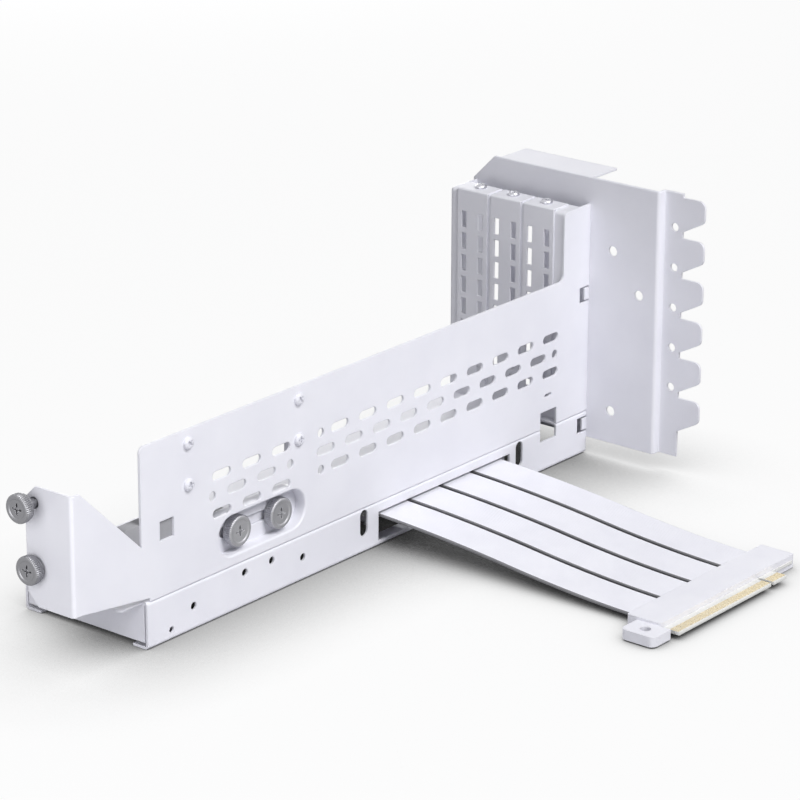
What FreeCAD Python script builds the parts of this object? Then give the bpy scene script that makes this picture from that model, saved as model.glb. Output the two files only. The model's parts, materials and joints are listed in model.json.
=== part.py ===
import FreeCAD, Part
import math
import os
import Sketcher

# Vertical graphics card bracket with a riser ribbon.
# X runs from the front arm to the rear plate, Y from the perforated plate to the card side,
# Z up from the floor. All lengths are millimetres.

# Every size of the object, by name

SIZES = {
    # sheet metal
    "sheet_thick": 1.2,
    "bend_outer": 1.8,
    "bend_inner": 0.6,
    "corner_round": 3.0,
    # base tray
    "tray_long": 320.0,
    "tray_wide": 74.0,
    "tray_high": 22.3,
    "lip_wide": 9.0,
    "flap_low": 3.0,
    "tab_reach": 14.0,
    "tab_near": 3.0,
    "tab_wide": 37.0,
    # ribbon window and skirt holes
    "window_room_left": 1.5,
    "window_room_right": 4.5,
    "window_low": 2.6,
    "window_rise": 1.0,
    "key_gap_left": 10.6,
    "key_gap_right": 7.6,
    "key_drop": 7.7,
    "key_span": 7.5,
    "key_radius": 2.75,
    "skirt_hole_radius": 1.9,
    "skirt_hole_1": 29.7,
    "skirt_hole_2": 63.7,
    "skirt_hole_3": 82.0,
    "skirt_hole_4": 103.4,
    "skirt_hole_low": 11.3,
    "skirt_hole_high": 16.4,
    "skirt_notch_at": 15.2,
    "skirt_notch_height": 4.8,
    "skirt_notch_radius": 1.5,
    # square cable hole across the joint line
    "cable_in": 4.5,
    "cable_wide": 13.0,
    "cable_drop": 6.8,
    "cable_rise": 8.7,
    "cable_deep": 12.0,
    # main plate
    "plate_left": 2.8,
    "plate_top": 94.6,
    "ear_out": 0.5,
    "ear_top": 129.0,
    "arm_reach": 45.0,
    "arm_top": 84.5,
    "arm_flat": 5.0,
    "arm_root": 48.7,
    "arm_rise_front": 7.1,
    "arm_rise_rear": 1.7,
    "plate_start": 2.0,
    "front_flange_wide": 27.0,
    "front_flange_cut": 6.0,
    "foot_wide": 11.0,
    "foot_1_left": 8.0,
    "foot_1_gap": 9.0,
    "foot_2_gap": 2.0,
    "foot_2_wide": 16.0,
    # slot field
    "vent_span": 8.0,
    "vent_radius": 2.2,
    "row_clear": 4.0,
    "row_step": 8.9,
    "field_in": 53.8,
    "field_end_in": 10.3,
    "dot_gap": 13.4,
    "group_in": 26.8,
    "group_dot_gap": 16.1,
    "square_left": 8.9,
    "square_low": 48.2,
    "square_side": 9.0,
    "dash_in": 5.9,
    "dash_rise": 8.0,
    "dash_span": 4.0,
    "dash_radius": 0.8,
    # hooks between the rear plate and the two sheets in front of it
    "hook_reach": 3.6,
    "hook_gap": 4.0,
    "hook_high": 6.0,
    "hook_upper": 80.5,
    "hook_lower": 12.5,
    "hook_room": 1.0,
    # drawn dish with the travel slot
    "dish_at": 76.0,
    "dish_lift": 2.3,
    "dish_room": 2.1,
    "dish_deep": 6.0,
    "dish_lip": 0.9,
    "travel_room": 6.0,
    "travel_radius": 2.5,
    # slot frame
    "panel_in": 20.5,
    "panel_side": 4.4,
    "ledge_reach": 12.5,
    "frame_foot_reach": 11.0,
    "frame_tab_drop": 9.0,
    "frame_tab_tall": 60.0,
    "slot_pitch": 20.32,
    "slot_margin": 4.44,
    "slot_open_wide": 15.0,
    "slot_open_rise": 7.7,
    "slot_open_drop": 9.0,
    # slot covers
    "cover_thick": 0.8,
    "cover_gap": 1.92,
    "cover_rise": 2.2,
    "cover_tongue": 10.0,
    "cover_tab_reach": 11.0,
    "cover_column": 5.15,
    "cover_vent_wide": 3.0,
    "cover_vent_high": 8.4,
    "cover_screw_in": 6.0,
    # rear plate
    "rear_under": 25.1,
    "rear_over": 2.0,
    "joggle_at": 40.7,
    "joggle_step": 4.8,
    "tongue_root_in": 10.4,
    "tongue_long": 12.6,
    "tongue_first": 33.5,
    "tongue_tip_high": 10.6,
    "tongue_gap": 3.0,
    "tongue_round": 3.6,
    "bridge_wide": 7.0,
    "window_under": 3.0,
    "window_over": 4.0,
    "window_side": 1.0,
    "top_flange_reach": 20.0,
    "top_flange_in": 3.2,
    "far_flange_reach": 12.0,
    "far_flange_in": 3.4,
    "rear_chamfer": 13.0,
    "lug_reach": 12.0,
    "lug_high": 18.0,
    "lug_1_low": 40.0,
    "lug_2_low": 96.0,
    "rear_hole_1_out": 13.8,
    "rear_hole_1_height": 107.4,
    "rear_hole_2_out": 29.7,
    "rear_hole_2_height": 88.0,
    "rear_hole_3_out": 14.4,
    "rear_hole_3_height": 25.0,
    "rear_hole_radius": 2.6,
    "case_hole_radius": 2.1,
    "case_hole_in": 6.0,
    # small screws
    "pan_radius": 2.9,
    "pan_high": 1.9,
    "shank_radius": 1.45,
    "shank_room": 0.2,
    "shank_long": 6.0,
    "foot_screw_in": 6.2,
    "foot_screw_first": 12.0,
    "foot_screw_last": 14.0,
    "frame_screw_out": 6.5,
    "frame_screw_near": 20.0,
    "frame_screw_far": 52.0,
    "rear_screw_in": 6.0,
    # captive thumbscrews on the front flange
    "knob_radius": 6.6,
    "knob_high": 5.0,
    "knob_chamfer": 0.7,
    "knob_neck": 2.2,
    "knob_neck_room": 0.5,
    "knob_long": 16.0,
    "knob_point": 1.0,
    "knob_in": 5.2,
    "knob_upper_drop": 7.5,
    "knob_lower_rise": 18.1,
    "knob_upper_gap": 5.6,
    "knob_lower_gap": 1.0,
    "flute_half": 0.9,
    "flute_deep": 0.8,
    "flute_out": 0.3,
    "cross_long": 5.2,
    "cross_wide": 1.3,
    "cross_deep": 1.8,
    "washer_radius": 4.4,
    "washer_thick": 1.0,
    "body_room": 0.3,
    # card rest that slides along the dish
    "rest_pitch": 28.0,
    "rest_knob_radius": 7.4,
    "rest_knob_high": 5.1,
    "rest_neck": 2.0,
    "rest_knob_long": 14.0,
    "rest_thick": 1.6,
    "rest_side": 10.0,
    "rest_arm_wide": 30.0,
    "rest_arm_lift": 3.1,
    "rest_arm_reach": 44.0,
    "rest_pad_side": 1.5,
    "rest_pad_thick": 2.6,
    "rest_pad_in": 4.9,
    "nut_across": 7.0,
    "nut_high": 2.6,
    # cushions
    "bumper_left": 13.0,
    "bumper_right": 20.0,
    "bumper_low": 48.0,
    "bumper_tall": 11.0,
    "bumper_thick": 6.0,
    "strip_1": 27.6,
    "strip_2": 101.0,
    "strip_wide": 8.0,
    "strip_drop": 3.6,
    "strip_tall": 27.6,
    "strip_thick": 4.0,
    "strip_screw_rise": 5.8,
    "strip_screw_drop": 2.6,
    # riser board
    "board_room": 17.0,
    "board_near": 3.6,
    "board_deep": 27.4,
    "board_low": 16.0,
    "board_thick": 1.6,
    "standoff_radius": 2.8,
    "standoff_in": 6.0,
    "standoff_out": 5.8,
    "standoff_far_in": 5.5,
    "standoff_near_in": 9.4,
    # floor opening and the card slot that rises through it
    "floor_room_left": 12.5,
    "floor_room_right": 1.5,
    "floor_room_side": 1.05,
    "socket_long": 89.0,
    "socket_in": 4.15,
    "socket_deep": 7.5,
    "socket_tall": 11.2,
    "groove_margin": 2.0,
    "groove_wide": 2.0,
    "groove_deep": 8.0,
    "groove_short": 11.65,
    "groove_key": 1.9,
    "ear_reach": 9.5,
    "ear_thick": 1.3,
    "ear_tall": 6.4,
    "pivot_in": 5.5,
    "pivot_rise": 3.0,
    "pivot_radius": 1.05,
    "pin_wide": 2.2,
    "pin_thick": 0.3,
    "pin_rise": 0.4,
    "pin_drop": 0.8,
    # slot latch
    "latch_rise": 1.6,
    "latch_half": 2.6,
    "latch_neck_rise": 6.4,
    "latch_hook_out": 4.6,
    "latch_hook_rise": 0.4,
    "latch_hook_tall": 2.4,
    "latch_thumb_out": 6.4,
    "latch_thumb_rise": 1.6,
    "latch_thumb_thick": 1.4,
    # ribbon clamp
    "clamp_in": 3.0,
    "clamp_block": 4.4,
    "clamp_near": 4.0,
    "clamp_deep": 4.0,
    "clamp_tall": 4.0,
    # ribbon strips, route in Y and Z
    "ribbon_shift": 46.0,
    "ribbon_pitch": 24.0,
    "ribbon_wide": 22.0,
    "ribbon_thick": 1.6,
    "ribbon_room": 0.2,
    "route_1_out": 12.0,
    "route_2_out": 30.0,
    "route_2_height": 13.8,
    "route_3_out": 118.0,
    "route_4_out": 154.0,
    "route_bend_1": 420.0,
    "route_bend_2": 380.0,
    # plug
    "plug_side": 4.0,
    "plug_board_gap": 0.2,
    "plug_board_deep": 9.8,
    "plug_tongue_out": 8.0,
    "plug_tongue_in": 8.5,
    "plug_key_in": 12.5,
    "plug_key_wide": 1.9,
    "plug_low": 2.4,
    "plug_cover_side": 2.0,
    "plug_cover_in": 8.7,
    "plug_cover_back": 0.5,
    "plug_cover_thick": 2.6,
    "plug_cover_round": 0.8,
    "finger_wide": 1.3,
    "finger_thick": 0.1,
    "finger_long": 5.5,
    "finger_edge": 0.8,
    "pull_reach": 13.0,
    "pull_in": 5.5,
    "pull_wide": 18.0,
    "pull_low": 0.6,
    "pull_tall": 4.8,
    "pull_hole": 2.6,
}

# Whole counts
VENTS_IN_FIELD = 9
VENTS_IN_GROUP = 3
COVER_COUNT = 3
COVER_VENTS = 8
TONGUE_COUNT = 6
FLUTE_COUNT = 14
LONG_PINS = 17
SHORT_PINS = 2
LONG_FINGERS = 36
SHORT_FINGERS = 5
RIBBON_COUNT = 4
HEX_SIDES = 6
HOLE_SIDES = 8
HEAD_SIDES = 16
ROUND_SIDES = 12
SLOT_FACETS = 6
QUARTER_TURN = 90.0
HALF_TURN = 180.0
FULL_TURN = 360.0
PLACE_TOLERANCE = 0.01
HOLE_OVER = round(1.0 / math.cos(math.pi / HOLE_SIDES), 5)
ROUND_DIGITS = 6

# Handles of points in a sketch
ORIGIN = -1
START = 1
END = 2
CENTRE = 3
UPWARD = FreeCAD.Vector(0, 0, 1)
ACROSS = FreeCAD.Vector(1, 0, 0)

doc = FreeCAD.newDocument("card_bracket")
cells = doc.addObject("Spreadsheet::Sheet", "Sizes")
for row, name in enumerate(SIZES, start=1):
    cells.set("A%d" % row, name)
    cells.set("B%d" % row, str(SIZES[name]))
    cells.setAlias("B%d" % row, name)
doc.recompute()


class Size:
    """A length kept both as a number and as an expression on the sheet."""

    def __init__(self, number, text):
        self.number = number
        self.text = text

    def __add__(self, other):
        return Size(self.number + other.number, "(%s + %s)" % (self.text, other.text))

    def __sub__(self, other):
        return Size(self.number - other.number, "(%s - %s)" % (self.text, other.text))

    def __mul__(self, count):
        return Size(self.number * count, "(%s * %s)" % (self.text, count))

    def __neg__(self):
        return Size(-self.number, "(0 - %s)" % self.text)

    def share(self, count):
        return Size(self.number / count, "(%s / %s)" % (self.text, count))

    def half(self):
        return self.share(2)


class Named:
    """Gives each size of the sheet as an attribute."""

    def __getattr__(self, name):
        return Size(SIZES[name], "Sizes." + name)


s = Named()
ZERO = Size(0.0, "0")
plane_by_sketch = {}
nodes = {}

# Places that follow from the sizes, along X

thick = s.sheet_thick
hole_radius = s.shank_radius + s.shank_room
panel_at = s.tray_long - s.panel_in
ear_left = panel_at - s.ear_out
cable_right = panel_at - s.cable_in
cable_left = cable_right - s.cable_wide
ribbon_middle = s.tray_long.half() + s.ribbon_shift
ribbon_spread = s.ribbon_pitch * (RIBBON_COUNT - 1) + s.ribbon_wide
ribbon_left = ribbon_middle - ribbon_spread.half()
ribbon_right = ribbon_middle + ribbon_spread.half()
window_left = ribbon_left - s.window_room_left
window_right = ribbon_right + s.window_room_right
socket_left = ribbon_middle - s.socket_long.half()
socket_right = ribbon_middle + s.socket_long.half()
floor_left = socket_left - s.floor_room_left
floor_right = socket_right + s.floor_room_right
board_left = ribbon_left - s.board_room.half()
board_right = ribbon_right + s.board_room.half()
standoff_left = board_left + s.standoff_in
standoff_right = socket_right + s.standoff_out
clamp_left = board_left + s.clamp_in
clamp_right = board_right - s.clamp_in
pivot_at = socket_left - s.pivot_in
foot_1_right = floor_left - s.foot_1_gap
foot_2_right = cable_left - s.foot_2_gap
foot_2_left = foot_2_right - s.foot_2_wide
foot_screw_1 = s.foot_1_left + s.foot_screw_first
foot_screw_2 = foot_1_right - s.foot_screw_last
foot_screw_3 = foot_2_right - s.foot_2_wide.half()
frame_screw_at = panel_at + s.frame_screw_out
field_first = s.dish_at + s.field_in
field_last = panel_at - s.field_end_in
vent_pitch = (field_last - field_first).share(VENTS_IN_FIELD - 1)
group_first = s.dish_at - s.group_in
plug_left = ribbon_left - s.plug_side
plug_right = ribbon_right + s.plug_side
plug_tongue_left = plug_left + s.plug_tongue_in
plug_tongue_right = plug_right - s.plug_tongue_in
plug_key_left = plug_tongue_right - s.plug_key_in
plug_key_right = plug_key_left + s.plug_key_wide

# Places that follow from the sizes, along Y

slot_first = thick + s.slot_margin + s.slot_pitch.half()
slot_last = slot_first + s.slot_pitch * (COVER_COUNT - 1)
panel_far = slot_last + s.slot_pitch.half() + s.panel_side
rear_far = panel_far + thick
tongue_root = s.joggle_at + s.tongue_root_in
tongue_tip = tongue_root + s.tongue_long
case_hole_out = s.joggle_at + s.case_hole_in
knob_out = s.front_flange_wide - s.knob_in
board_far = s.board_near + s.board_deep
standoff_near = s.board_near + s.standoff_near_in
standoff_far = board_far - s.standoff_far_in
socket_near = s.board_near + s.socket_in
socket_far = socket_near + s.socket_deep
floor_near = socket_near - s.floor_room_side
floor_far = socket_far + s.floor_room_side
plug_near = s.route_4_out + s.plug_board_gap
plug_shoulder = plug_near + s.plug_board_deep
plug_edge = plug_shoulder + s.plug_tongue_out
plug_cover_mouth = plug_near - s.plug_cover_in
plug_cover_out = plug_shoulder - s.plug_cover_back
pull_near = plug_cover_mouth + s.pull_in
pull_far = pull_near + s.pull_wide

# Places that follow from the sizes, along Z

floor_low = s.tray_high - thick
foot_top = s.tray_high + thick
cable_low = s.tray_high - s.cable_drop
cable_high = s.tray_high + s.cable_rise
skirt_key_height = s.tray_high - s.key_drop
arm_low_front = s.tray_high + s.arm_rise_front
arm_low_rear = s.tray_high + s.arm_rise_rear
knob_upper = s.arm_top - s.knob_upper_drop
knob_lower = arm_low_front + s.knob_lower_rise
dish_radius = s.rest_knob_radius + s.dish_room
dish_height = foot_top + s.dish_lift + thick + dish_radius
travel_span = s.rest_pitch + s.travel_room * 2
row_low = dish_height + dish_radius + s.row_clear
row_mid = row_low + s.row_step
row_high = row_mid + s.row_step
slot_open_low = s.tray_high + s.slot_open_rise
slot_open_high = s.ear_top - s.slot_open_drop
frame_tab_high = s.ear_top - s.frame_tab_drop
frame_tab_low = frame_tab_high - s.frame_tab_tall
tip_half = s.tongue_tip_high.half()
last_tongue = s.tongue_first + s.slot_pitch * (TONGUE_COUNT - 1)
rear_low = s.tongue_first - s.rear_under
rear_top = last_tongue + tip_half + s.rear_over
rest_arm_low = foot_top + s.rest_arm_lift
rest_top = dish_height + dish_radius
strip_high = s.plate_top - s.strip_drop
strip_low = strip_high - s.strip_tall
strip_screw_low = strip_low + s.strip_screw_rise
strip_screw_high = strip_high - s.strip_screw_drop
board_top = s.board_low + s.board_thick
window_high = s.board_low + s.window_rise
socket_top = board_top + s.socket_tall
pivot_height = board_top + s.pivot_rise
half_thick = s.ribbon_thick.half()
route_1_height = s.board_low - half_thick - s.ribbon_room
route_4_height = s.plug_low + half_thick
clamp_low = s.board_low - s.clamp_tall
clamp_inner = route_1_height - half_thick - s.body_room


# Sketch helpers

def new_sketch(body, name, plane, at):
    """Sketch on one of the body's own planes, moved along that plane's axis."""
    sketch = body.newObject("Sketcher::SketchObject", name)
    role = plane + "_Plane"
    support = [item for item in body.Origin.OriginFeatures if item.Role == role]
    sketch.AttachmentSupport = [(support[0], "")]
    sketch.MapMode = "FlatFace"
    offset = -at if plane == "XZ" else at
    sketch.setExpression("AttachmentOffset.Base.z", offset.text)
    plane_by_sketch[sketch.Name] = plane
    return sketch


def bind(sketch, constraint, size):
    index = sketch.addConstraint(constraint)
    sketch.setExpression("Constraints[%d]" % index, size.text)


def pin(sketch, item, point, u, v):
    bind(sketch, Sketcher.Constraint("DistanceX", ORIGIN, START, item, point, u.number), u)
    bind(sketch, Sketcher.Constraint("DistanceY", ORIGIN, START, item, point, v.number), v)


def flat(u, v):
    return FreeCAD.Vector(u.number, v.number, 0)


def add_loop(sketch, corners):
    """Closed outline through the given corners."""
    first = sketch.GeometryCount
    base = sketch.ConstraintCount
    count = len(corners)
    lines = []
    joints = []
    sizes = []
    for i, (u, v) in enumerate(corners):
        after = (i + 1) % count
        lines.append(Part.LineSegment(flat(u, v), flat(*corners[after])))
        for kind, size in (("DistanceX", u), ("DistanceY", v)):
            joints.append(Sketcher.Constraint(kind, ORIGIN, START, first + i, START, size.number))
            sizes.append(size)
    for i in range(count):
        after = (i + 1) % count
        joints.append(Sketcher.Constraint("Coincident", first + i, END, first + after, START))
    sketch.addGeometry(lines, False)
    sketch.addConstraint(joints)
    for i, size in enumerate(sizes):
        sketch.setExpression("Constraints[%d]" % (base + i), size.text)


def add_box(sketch, left, low, right, high):
    add_loop(sketch, [(left, low), (right, low), (right, high), (left, high)])


def add_circle(sketch, u, v, radius):
    item = sketch.addGeometry(Part.Circle(flat(u, v), UPWARD, radius.number), False)
    pin(sketch, item, CENTRE, u, v)
    bind(sketch, Sketcher.Constraint("Radius", item, radius.number), radius)


def add_round(sketch, u, v, radius, sides):
    """Regular outline whose corners lie on a circle."""
    corners = []
    for k in range(sides):
        angle = 2 * math.pi * (k + 0.5) / sides
        across = radius * round(math.cos(angle), ROUND_DIGITS)
        along = radius * round(math.sin(angle), ROUND_DIGITS)
        corners.append((u + across, v + along))
    add_loop(sketch, corners)


def add_hole(sketch, u, v, radius):
    """Clearance hole whose flats keep the given radius."""
    add_round(sketch, u, v, radius * HOLE_OVER, HOLE_SIDES)


def add_slot(sketch, u, v, span, radius):
    """Level slot with ends of a few flats, for the vents that repeat."""
    corners = []
    for centre, first in ((u + span.half(), -math.pi / 2), (u - span.half(), math.pi / 2)):
        for k in range(SLOT_FACETS + 1):
            angle = first + math.pi * k / SLOT_FACETS
            across = radius * round(math.cos(angle), ROUND_DIGITS)
            along = radius * round(math.sin(angle), ROUND_DIGITS)
            corners.append((centre + across, v + along))
    add_loop(sketch, corners)


def add_obround(sketch, u, v, span, radius, upright=False):
    """Slot outline: two half circles whose centres lie a span apart."""
    reach = span.half()
    if upright:
        ends = [(u, v - reach), (u, v + reach)]
        turn = math.pi / 2
    else:
        ends = [(u - reach, v), (u + reach, v)]
        turn = 0.0
    quarter = math.pi / 2
    circles = [Part.Circle(flat(*end), UPWARD, radius.number) for end in ends]
    arc_a = Part.ArcOfCircle(circles[0], turn + quarter, turn + 3 * quarter)
    arc_b = Part.ArcOfCircle(circles[1], turn - quarter, turn + quarter)
    a = sketch.addGeometry(arc_a, False)
    b = sketch.addGeometry(arc_b, False)
    low = sketch.addGeometry(Part.LineSegment(arc_a.EndPoint, arc_b.StartPoint), False)
    high = sketch.addGeometry(Part.LineSegment(arc_b.EndPoint, arc_a.StartPoint), False)
    sketch.addConstraint(Sketcher.Constraint("Tangent", a, END, low, START))
    sketch.addConstraint(Sketcher.Constraint("Tangent", low, END, b, START))
    sketch.addConstraint(Sketcher.Constraint("Tangent", b, END, high, START))
    sketch.addConstraint(Sketcher.Constraint("Tangent", high, END, a, START))
    sketch.addConstraint(Sketcher.Constraint("Equal", a, b))
    pin(sketch, a, CENTRE, *ends[0])
    pin(sketch, b, CENTRE, *ends[1])
    bind(sketch, Sketcher.Constraint("Radius", a, radius.number), radius)


# Feature helpers

def pad(body, name, sketch, length):
    """Material from the sketch toward the positive axis."""
    feature = body.newObject("PartDesign::Pad", name)
    feature.Profile = sketch
    feature.setExpression("Length", length.text)
    feature.Reversed = plane_by_sketch[sketch.Name] == "XZ"
    doc.recompute()
    return feature


def cut(body, name, sketch, depth):
    """Opening from the sketch toward the positive axis."""
    feature = body.newObject("PartDesign::Pocket", name)
    feature.Profile = sketch
    feature.setExpression("Length", depth.text)
    feature.Reversed = plane_by_sketch[sketch.Name] != "XZ"
    doc.recompute()
    return feature


def repeat(body, name, feature, axis, pitch, count):
    """Row of equal features along an axis of their sketch."""
    row = body.newObject("PartDesign::LinearPattern", name)
    row.Originals = [feature]
    row.Direction = (feature.Profile[0], [axis])
    row.setExpression("Length", (pitch * (count - 1)).text)
    row.Occurrences = count
    row.Refine = False
    body.Tip = row
    doc.recompute()
    return row


def plate(body, name, plane, at, corners, thick):
    """Flat piece of sheet given by its corners."""
    sketch = new_sketch(body, name + "_outline", plane, at)
    add_loop(sketch, corners)
    return pad(body, name, sketch, thick)


def straight_edges(shape, axis, places):
    """Names of the edges along an axis whose two other coordinates match a place."""
    names = []
    others = [i for i in range(3) if i != axis]
    for index, edge in enumerate(shape.Edges, start=1):
        ends = [vertex.Point for vertex in edge.Vertexes]
        if len(ends) != 2:
            continue
        for place in places:
            off = [abs(end[others[k]] - place[k].number) for end in ends for k in (0, 1)]
            if max(off) < PLACE_TOLERANCE:
                names.append("Edge%d" % index)
                break
    return names


def round_edges(body, name, radius, axis, places):
    """Rounds the straight edges found at the given places."""
    base = body.Tip
    feature = body.newObject("PartDesign::Fillet", name)
    feature.Base = (base, straight_edges(base.Shape, axis, places))
    feature.setExpression("Radius", radius.text)
    doc.recompute()
    return feature


# The origin of the finished part is the bottom centre of the bracket without its ribbon

far_side = rear_far + s.pan_high
rear_end = s.tray_long + s.sheet_thick + s.top_flange_reach
front_end = -(s.arm_reach + s.knob_upper_gap + s.knob_high)
shift = (-(front_end + rear_end).half(), -(far_side - tongue_tip).half(), ZERO)


def move(thing, x, y, z):
    for axis, size in zip("xyz", (x, y, z)):
        thing.setExpression("Placement.Base." + axis, size.text)


def moved(x, y, z):
    return (x + shift[0], y + shift[1], z + shift[2])


def new_body(name):
    body = doc.addObject("PartDesign::Body", name)
    body.Label = name
    move(body, *shift)
    nodes[name] = body
    return body


def block(name, low, size):
    """Plain block from its low corner and its three lengths."""
    box = doc.addObject("Part::Box", name)
    for label, length in zip(("Length", "Width", "Height"), size):
        box.setExpression(label, length.text)
    move(box, *moved(*low))
    return box


def group(name, members):
    """Several equal solids under one name."""
    holder = doc.addObject("Part::Compound", name)
    holder.Links = members
    holder.Label = name
    nodes[name] = holder
    return holder


def bar(name, radius, length, drop, sides):
    """Upright bar of even section whose foot lies below its own zero by the drop."""
    prism = doc.addObject("Part::Prism", name)
    prism.Polygon = sides
    prism.setExpression("Circumradius", radius.text)
    prism.setExpression("Height", length.text)
    prism.setExpression("Placement.Base.z", (-drop).text)
    return prism


def screw(name, place, length, turn):
    """Plain pan head screw, head upward before it is turned about X."""
    head = bar(name + "_head", s.pan_radius, s.pan_high, ZERO, HEAD_SIDES)
    shank = bar(name + "_shank", s.shank_radius, length, length, HOLE_SIDES)
    piece = doc.addObject("Part::Fuse", name)
    piece.Base = head
    piece.Tool = shank
    piece.Placement = FreeCAD.Placement(FreeCAD.Vector(), FreeCAD.Rotation(ACROSS, turn))
    move(piece, *moved(*place))
    return piece


# Base tray: inverted channel with inward lips, end flap and floor tab

inner_far = s.tray_wide - thick
tray = new_body("base_tray")
channel = [
    (ZERO, ZERO),
    (s.lip_wide, ZERO),
    (s.lip_wide, thick),
    (thick, thick),
    (thick, floor_low),
    (inner_far, floor_low),
    (inner_far, thick),
    (s.tray_wide - s.lip_wide, thick),
    (s.tray_wide - s.lip_wide, ZERO),
    (s.tray_wide, ZERO),
    (s.tray_wide, s.tray_high),
    (ZERO, s.tray_high),
]
plate(tray, "channel", "YZ", ZERO, channel, s.tray_long)
outer_bends = [
    (ZERO, ZERO),
    (s.tray_wide, ZERO),
    (s.tray_wide, s.tray_high),
    (ZERO, s.tray_high),
]
inner_bends = [
    (thick, thick),
    (thick, floor_low),
    (inner_far, floor_low),
    (inner_far, thick),
]
round_edges(tray, "channel_outer_bends", s.bend_outer, 0, outer_bends)
round_edges(tray, "channel_inner_bends", s.bend_inner, 0, inner_bends)
flap_near = thick + s.bend_inner
flap_far = inner_far - s.bend_inner
flap = [
    (flap_near, s.flap_low),
    (flap_far, s.flap_low),
    (flap_far, floor_low),
    (flap_near, floor_low),
]
plate(tray, "end_flap", "YZ", ZERO, flap, thick)
tab_far = s.tab_near + s.tab_wide
tab = [
    (-s.tab_reach, s.tab_near),
    (ZERO, s.tab_near),
    (ZERO, tab_far),
    (-s.tab_reach, tab_far),
]
plate(tray, "floor_tab", "XY", floor_low, tab, thick)
round_edges(
    tray,
    "floor_tab_corners",
    s.corner_round,
    2,
    [(-s.tab_reach, s.tab_near), (-s.tab_reach, tab_far)],
)

ribbon_window = new_sketch(tray, "ribbon_window", "XZ", ZERO)
add_box(ribbon_window, window_left, s.window_low, window_right, window_high)
cut(tray, "ribbon_window_cut", ribbon_window, thick)
keys = new_sketch(tray, "skirt_keys", "XZ", ZERO)
for at in (window_left - s.key_gap_left, window_right + s.key_gap_right):
    add_obround(keys, at, skirt_key_height, s.key_span, s.key_radius, True)
cut(tray, "skirt_key_cut", keys, thick)
skirt = new_sketch(tray, "skirt_holes", "XZ", ZERO)
for at, height, radius in (
    (s.skirt_hole_1, s.skirt_hole_low, s.skirt_hole_radius),
    (s.skirt_hole_2, s.skirt_hole_high, s.skirt_hole_radius),
    (s.skirt_hole_3, s.skirt_hole_high, s.skirt_hole_radius),
    (s.skirt_hole_4, s.skirt_hole_low, s.skirt_hole_radius),
    (s.skirt_notch_at, s.skirt_notch_height, s.skirt_notch_radius),
):
    add_round(skirt, at, height, radius, ROUND_SIDES)
cut(tray, "skirt_hole_cut", skirt, thick)


def cut_hook_notch(body, name, low):
    """Notch in a sheet's rear edge that takes a hook of the rear plate."""
    left = s.tray_long - s.hook_reach - s.hook_gap
    notch = new_sketch(body, name, "XZ", ZERO)
    high = low + s.hook_high + s.hook_room
    add_box(notch, left, low - s.hook_room, s.tray_long, high)
    cut(body, name + "_cut", notch, thick)


cut_hook_notch(tray, "lower_hook_notch", s.hook_lower)
cable = new_sketch(tray, "cable_notch", "XZ", ZERO)
add_box(cable, cable_left, cable_low, cable_right, s.tray_high)
cut(tray, "cable_notch_cut", cable, s.cable_deep)

foot_places = [
    (foot_screw_1, s.foot_screw_in),
    (foot_screw_2, s.foot_screw_in),
    (foot_screw_3, s.foot_screw_in),
    (frame_screw_at, s.frame_screw_near),
    (frame_screw_at, s.frame_screw_far),
]
board_places = [
    (standoff_left, standoff_far),
    (standoff_right, standoff_far),
    (standoff_right, standoff_near),
]
floor = new_sketch(tray, "floor_openings", "XY", floor_low)
add_box(floor, floor_left, floor_near, floor_right, floor_far)
for place in foot_places + board_places:
    add_hole(floor, place[0], place[1], hole_radius)
cut(tray, "floor_cuts", floor, thick)

# Main plate: perforated upright with the slanted arm, front flange, feet and dish

main = new_body("main_plate")
plate_edge = -s.plate_left
arm_edge = -s.arm_reach
upright = [
    (s.plate_start, s.tray_high),
    (s.tray_long, s.tray_high),
    (s.tray_long, s.ear_top),
    (ear_left, s.ear_top),
    (ear_left, s.plate_top),
    (plate_edge, s.plate_top),
    (plate_edge, s.arm_root),
    (arm_edge + s.arm_flat, s.arm_top),
    (arm_edge, s.arm_top),
    (arm_edge, arm_low_front),
    (arm_edge + s.arm_flat, arm_low_front),
    (s.plate_start, arm_low_rear),
]
plate(main, "upright", "XZ", ZERO, upright, thick)
flange_far = s.front_flange_wide
flange_cut = s.front_flange_cut
front_flange = [
    (ZERO, arm_low_front),
    (flange_far - flange_cut, arm_low_front),
    (flange_far, arm_low_front + flange_cut),
    (flange_far, s.arm_top - flange_cut),
    (flange_far - flange_cut, s.arm_top),
    (ZERO, s.arm_top),
]
plate(main, "front_flange", "YZ", arm_edge, front_flange, thick)
round_edges(main, "arm_outer_bend", s.bend_outer, 2, [(arm_edge, ZERO)])
round_edges(main, "arm_inner_bend", s.bend_inner, 2, [(arm_edge + thick, thick)])
upright_corners = [
    (plate_edge, s.plate_top),
    (ear_left, s.ear_top),
    (ear_left, s.plate_top),
]
round_edges(main, "upright_corners", s.corner_round, 1, upright_corners)
for label, left, right in (
    ("foot_1", s.foot_1_left, foot_1_right),
    ("foot_2", foot_2_left, foot_2_right),
):
    foot = [(left, ZERO), (right, ZERO), (right, s.foot_wide), (left, s.foot_wide)]
    plate(main, label, "XY", s.tray_high, foot, thick)
    round_edges(
        main,
        label + "_corners",
        s.corner_round,
        2,
        [(left, s.foot_wide), (right, s.foot_wide)],
    )

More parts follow.
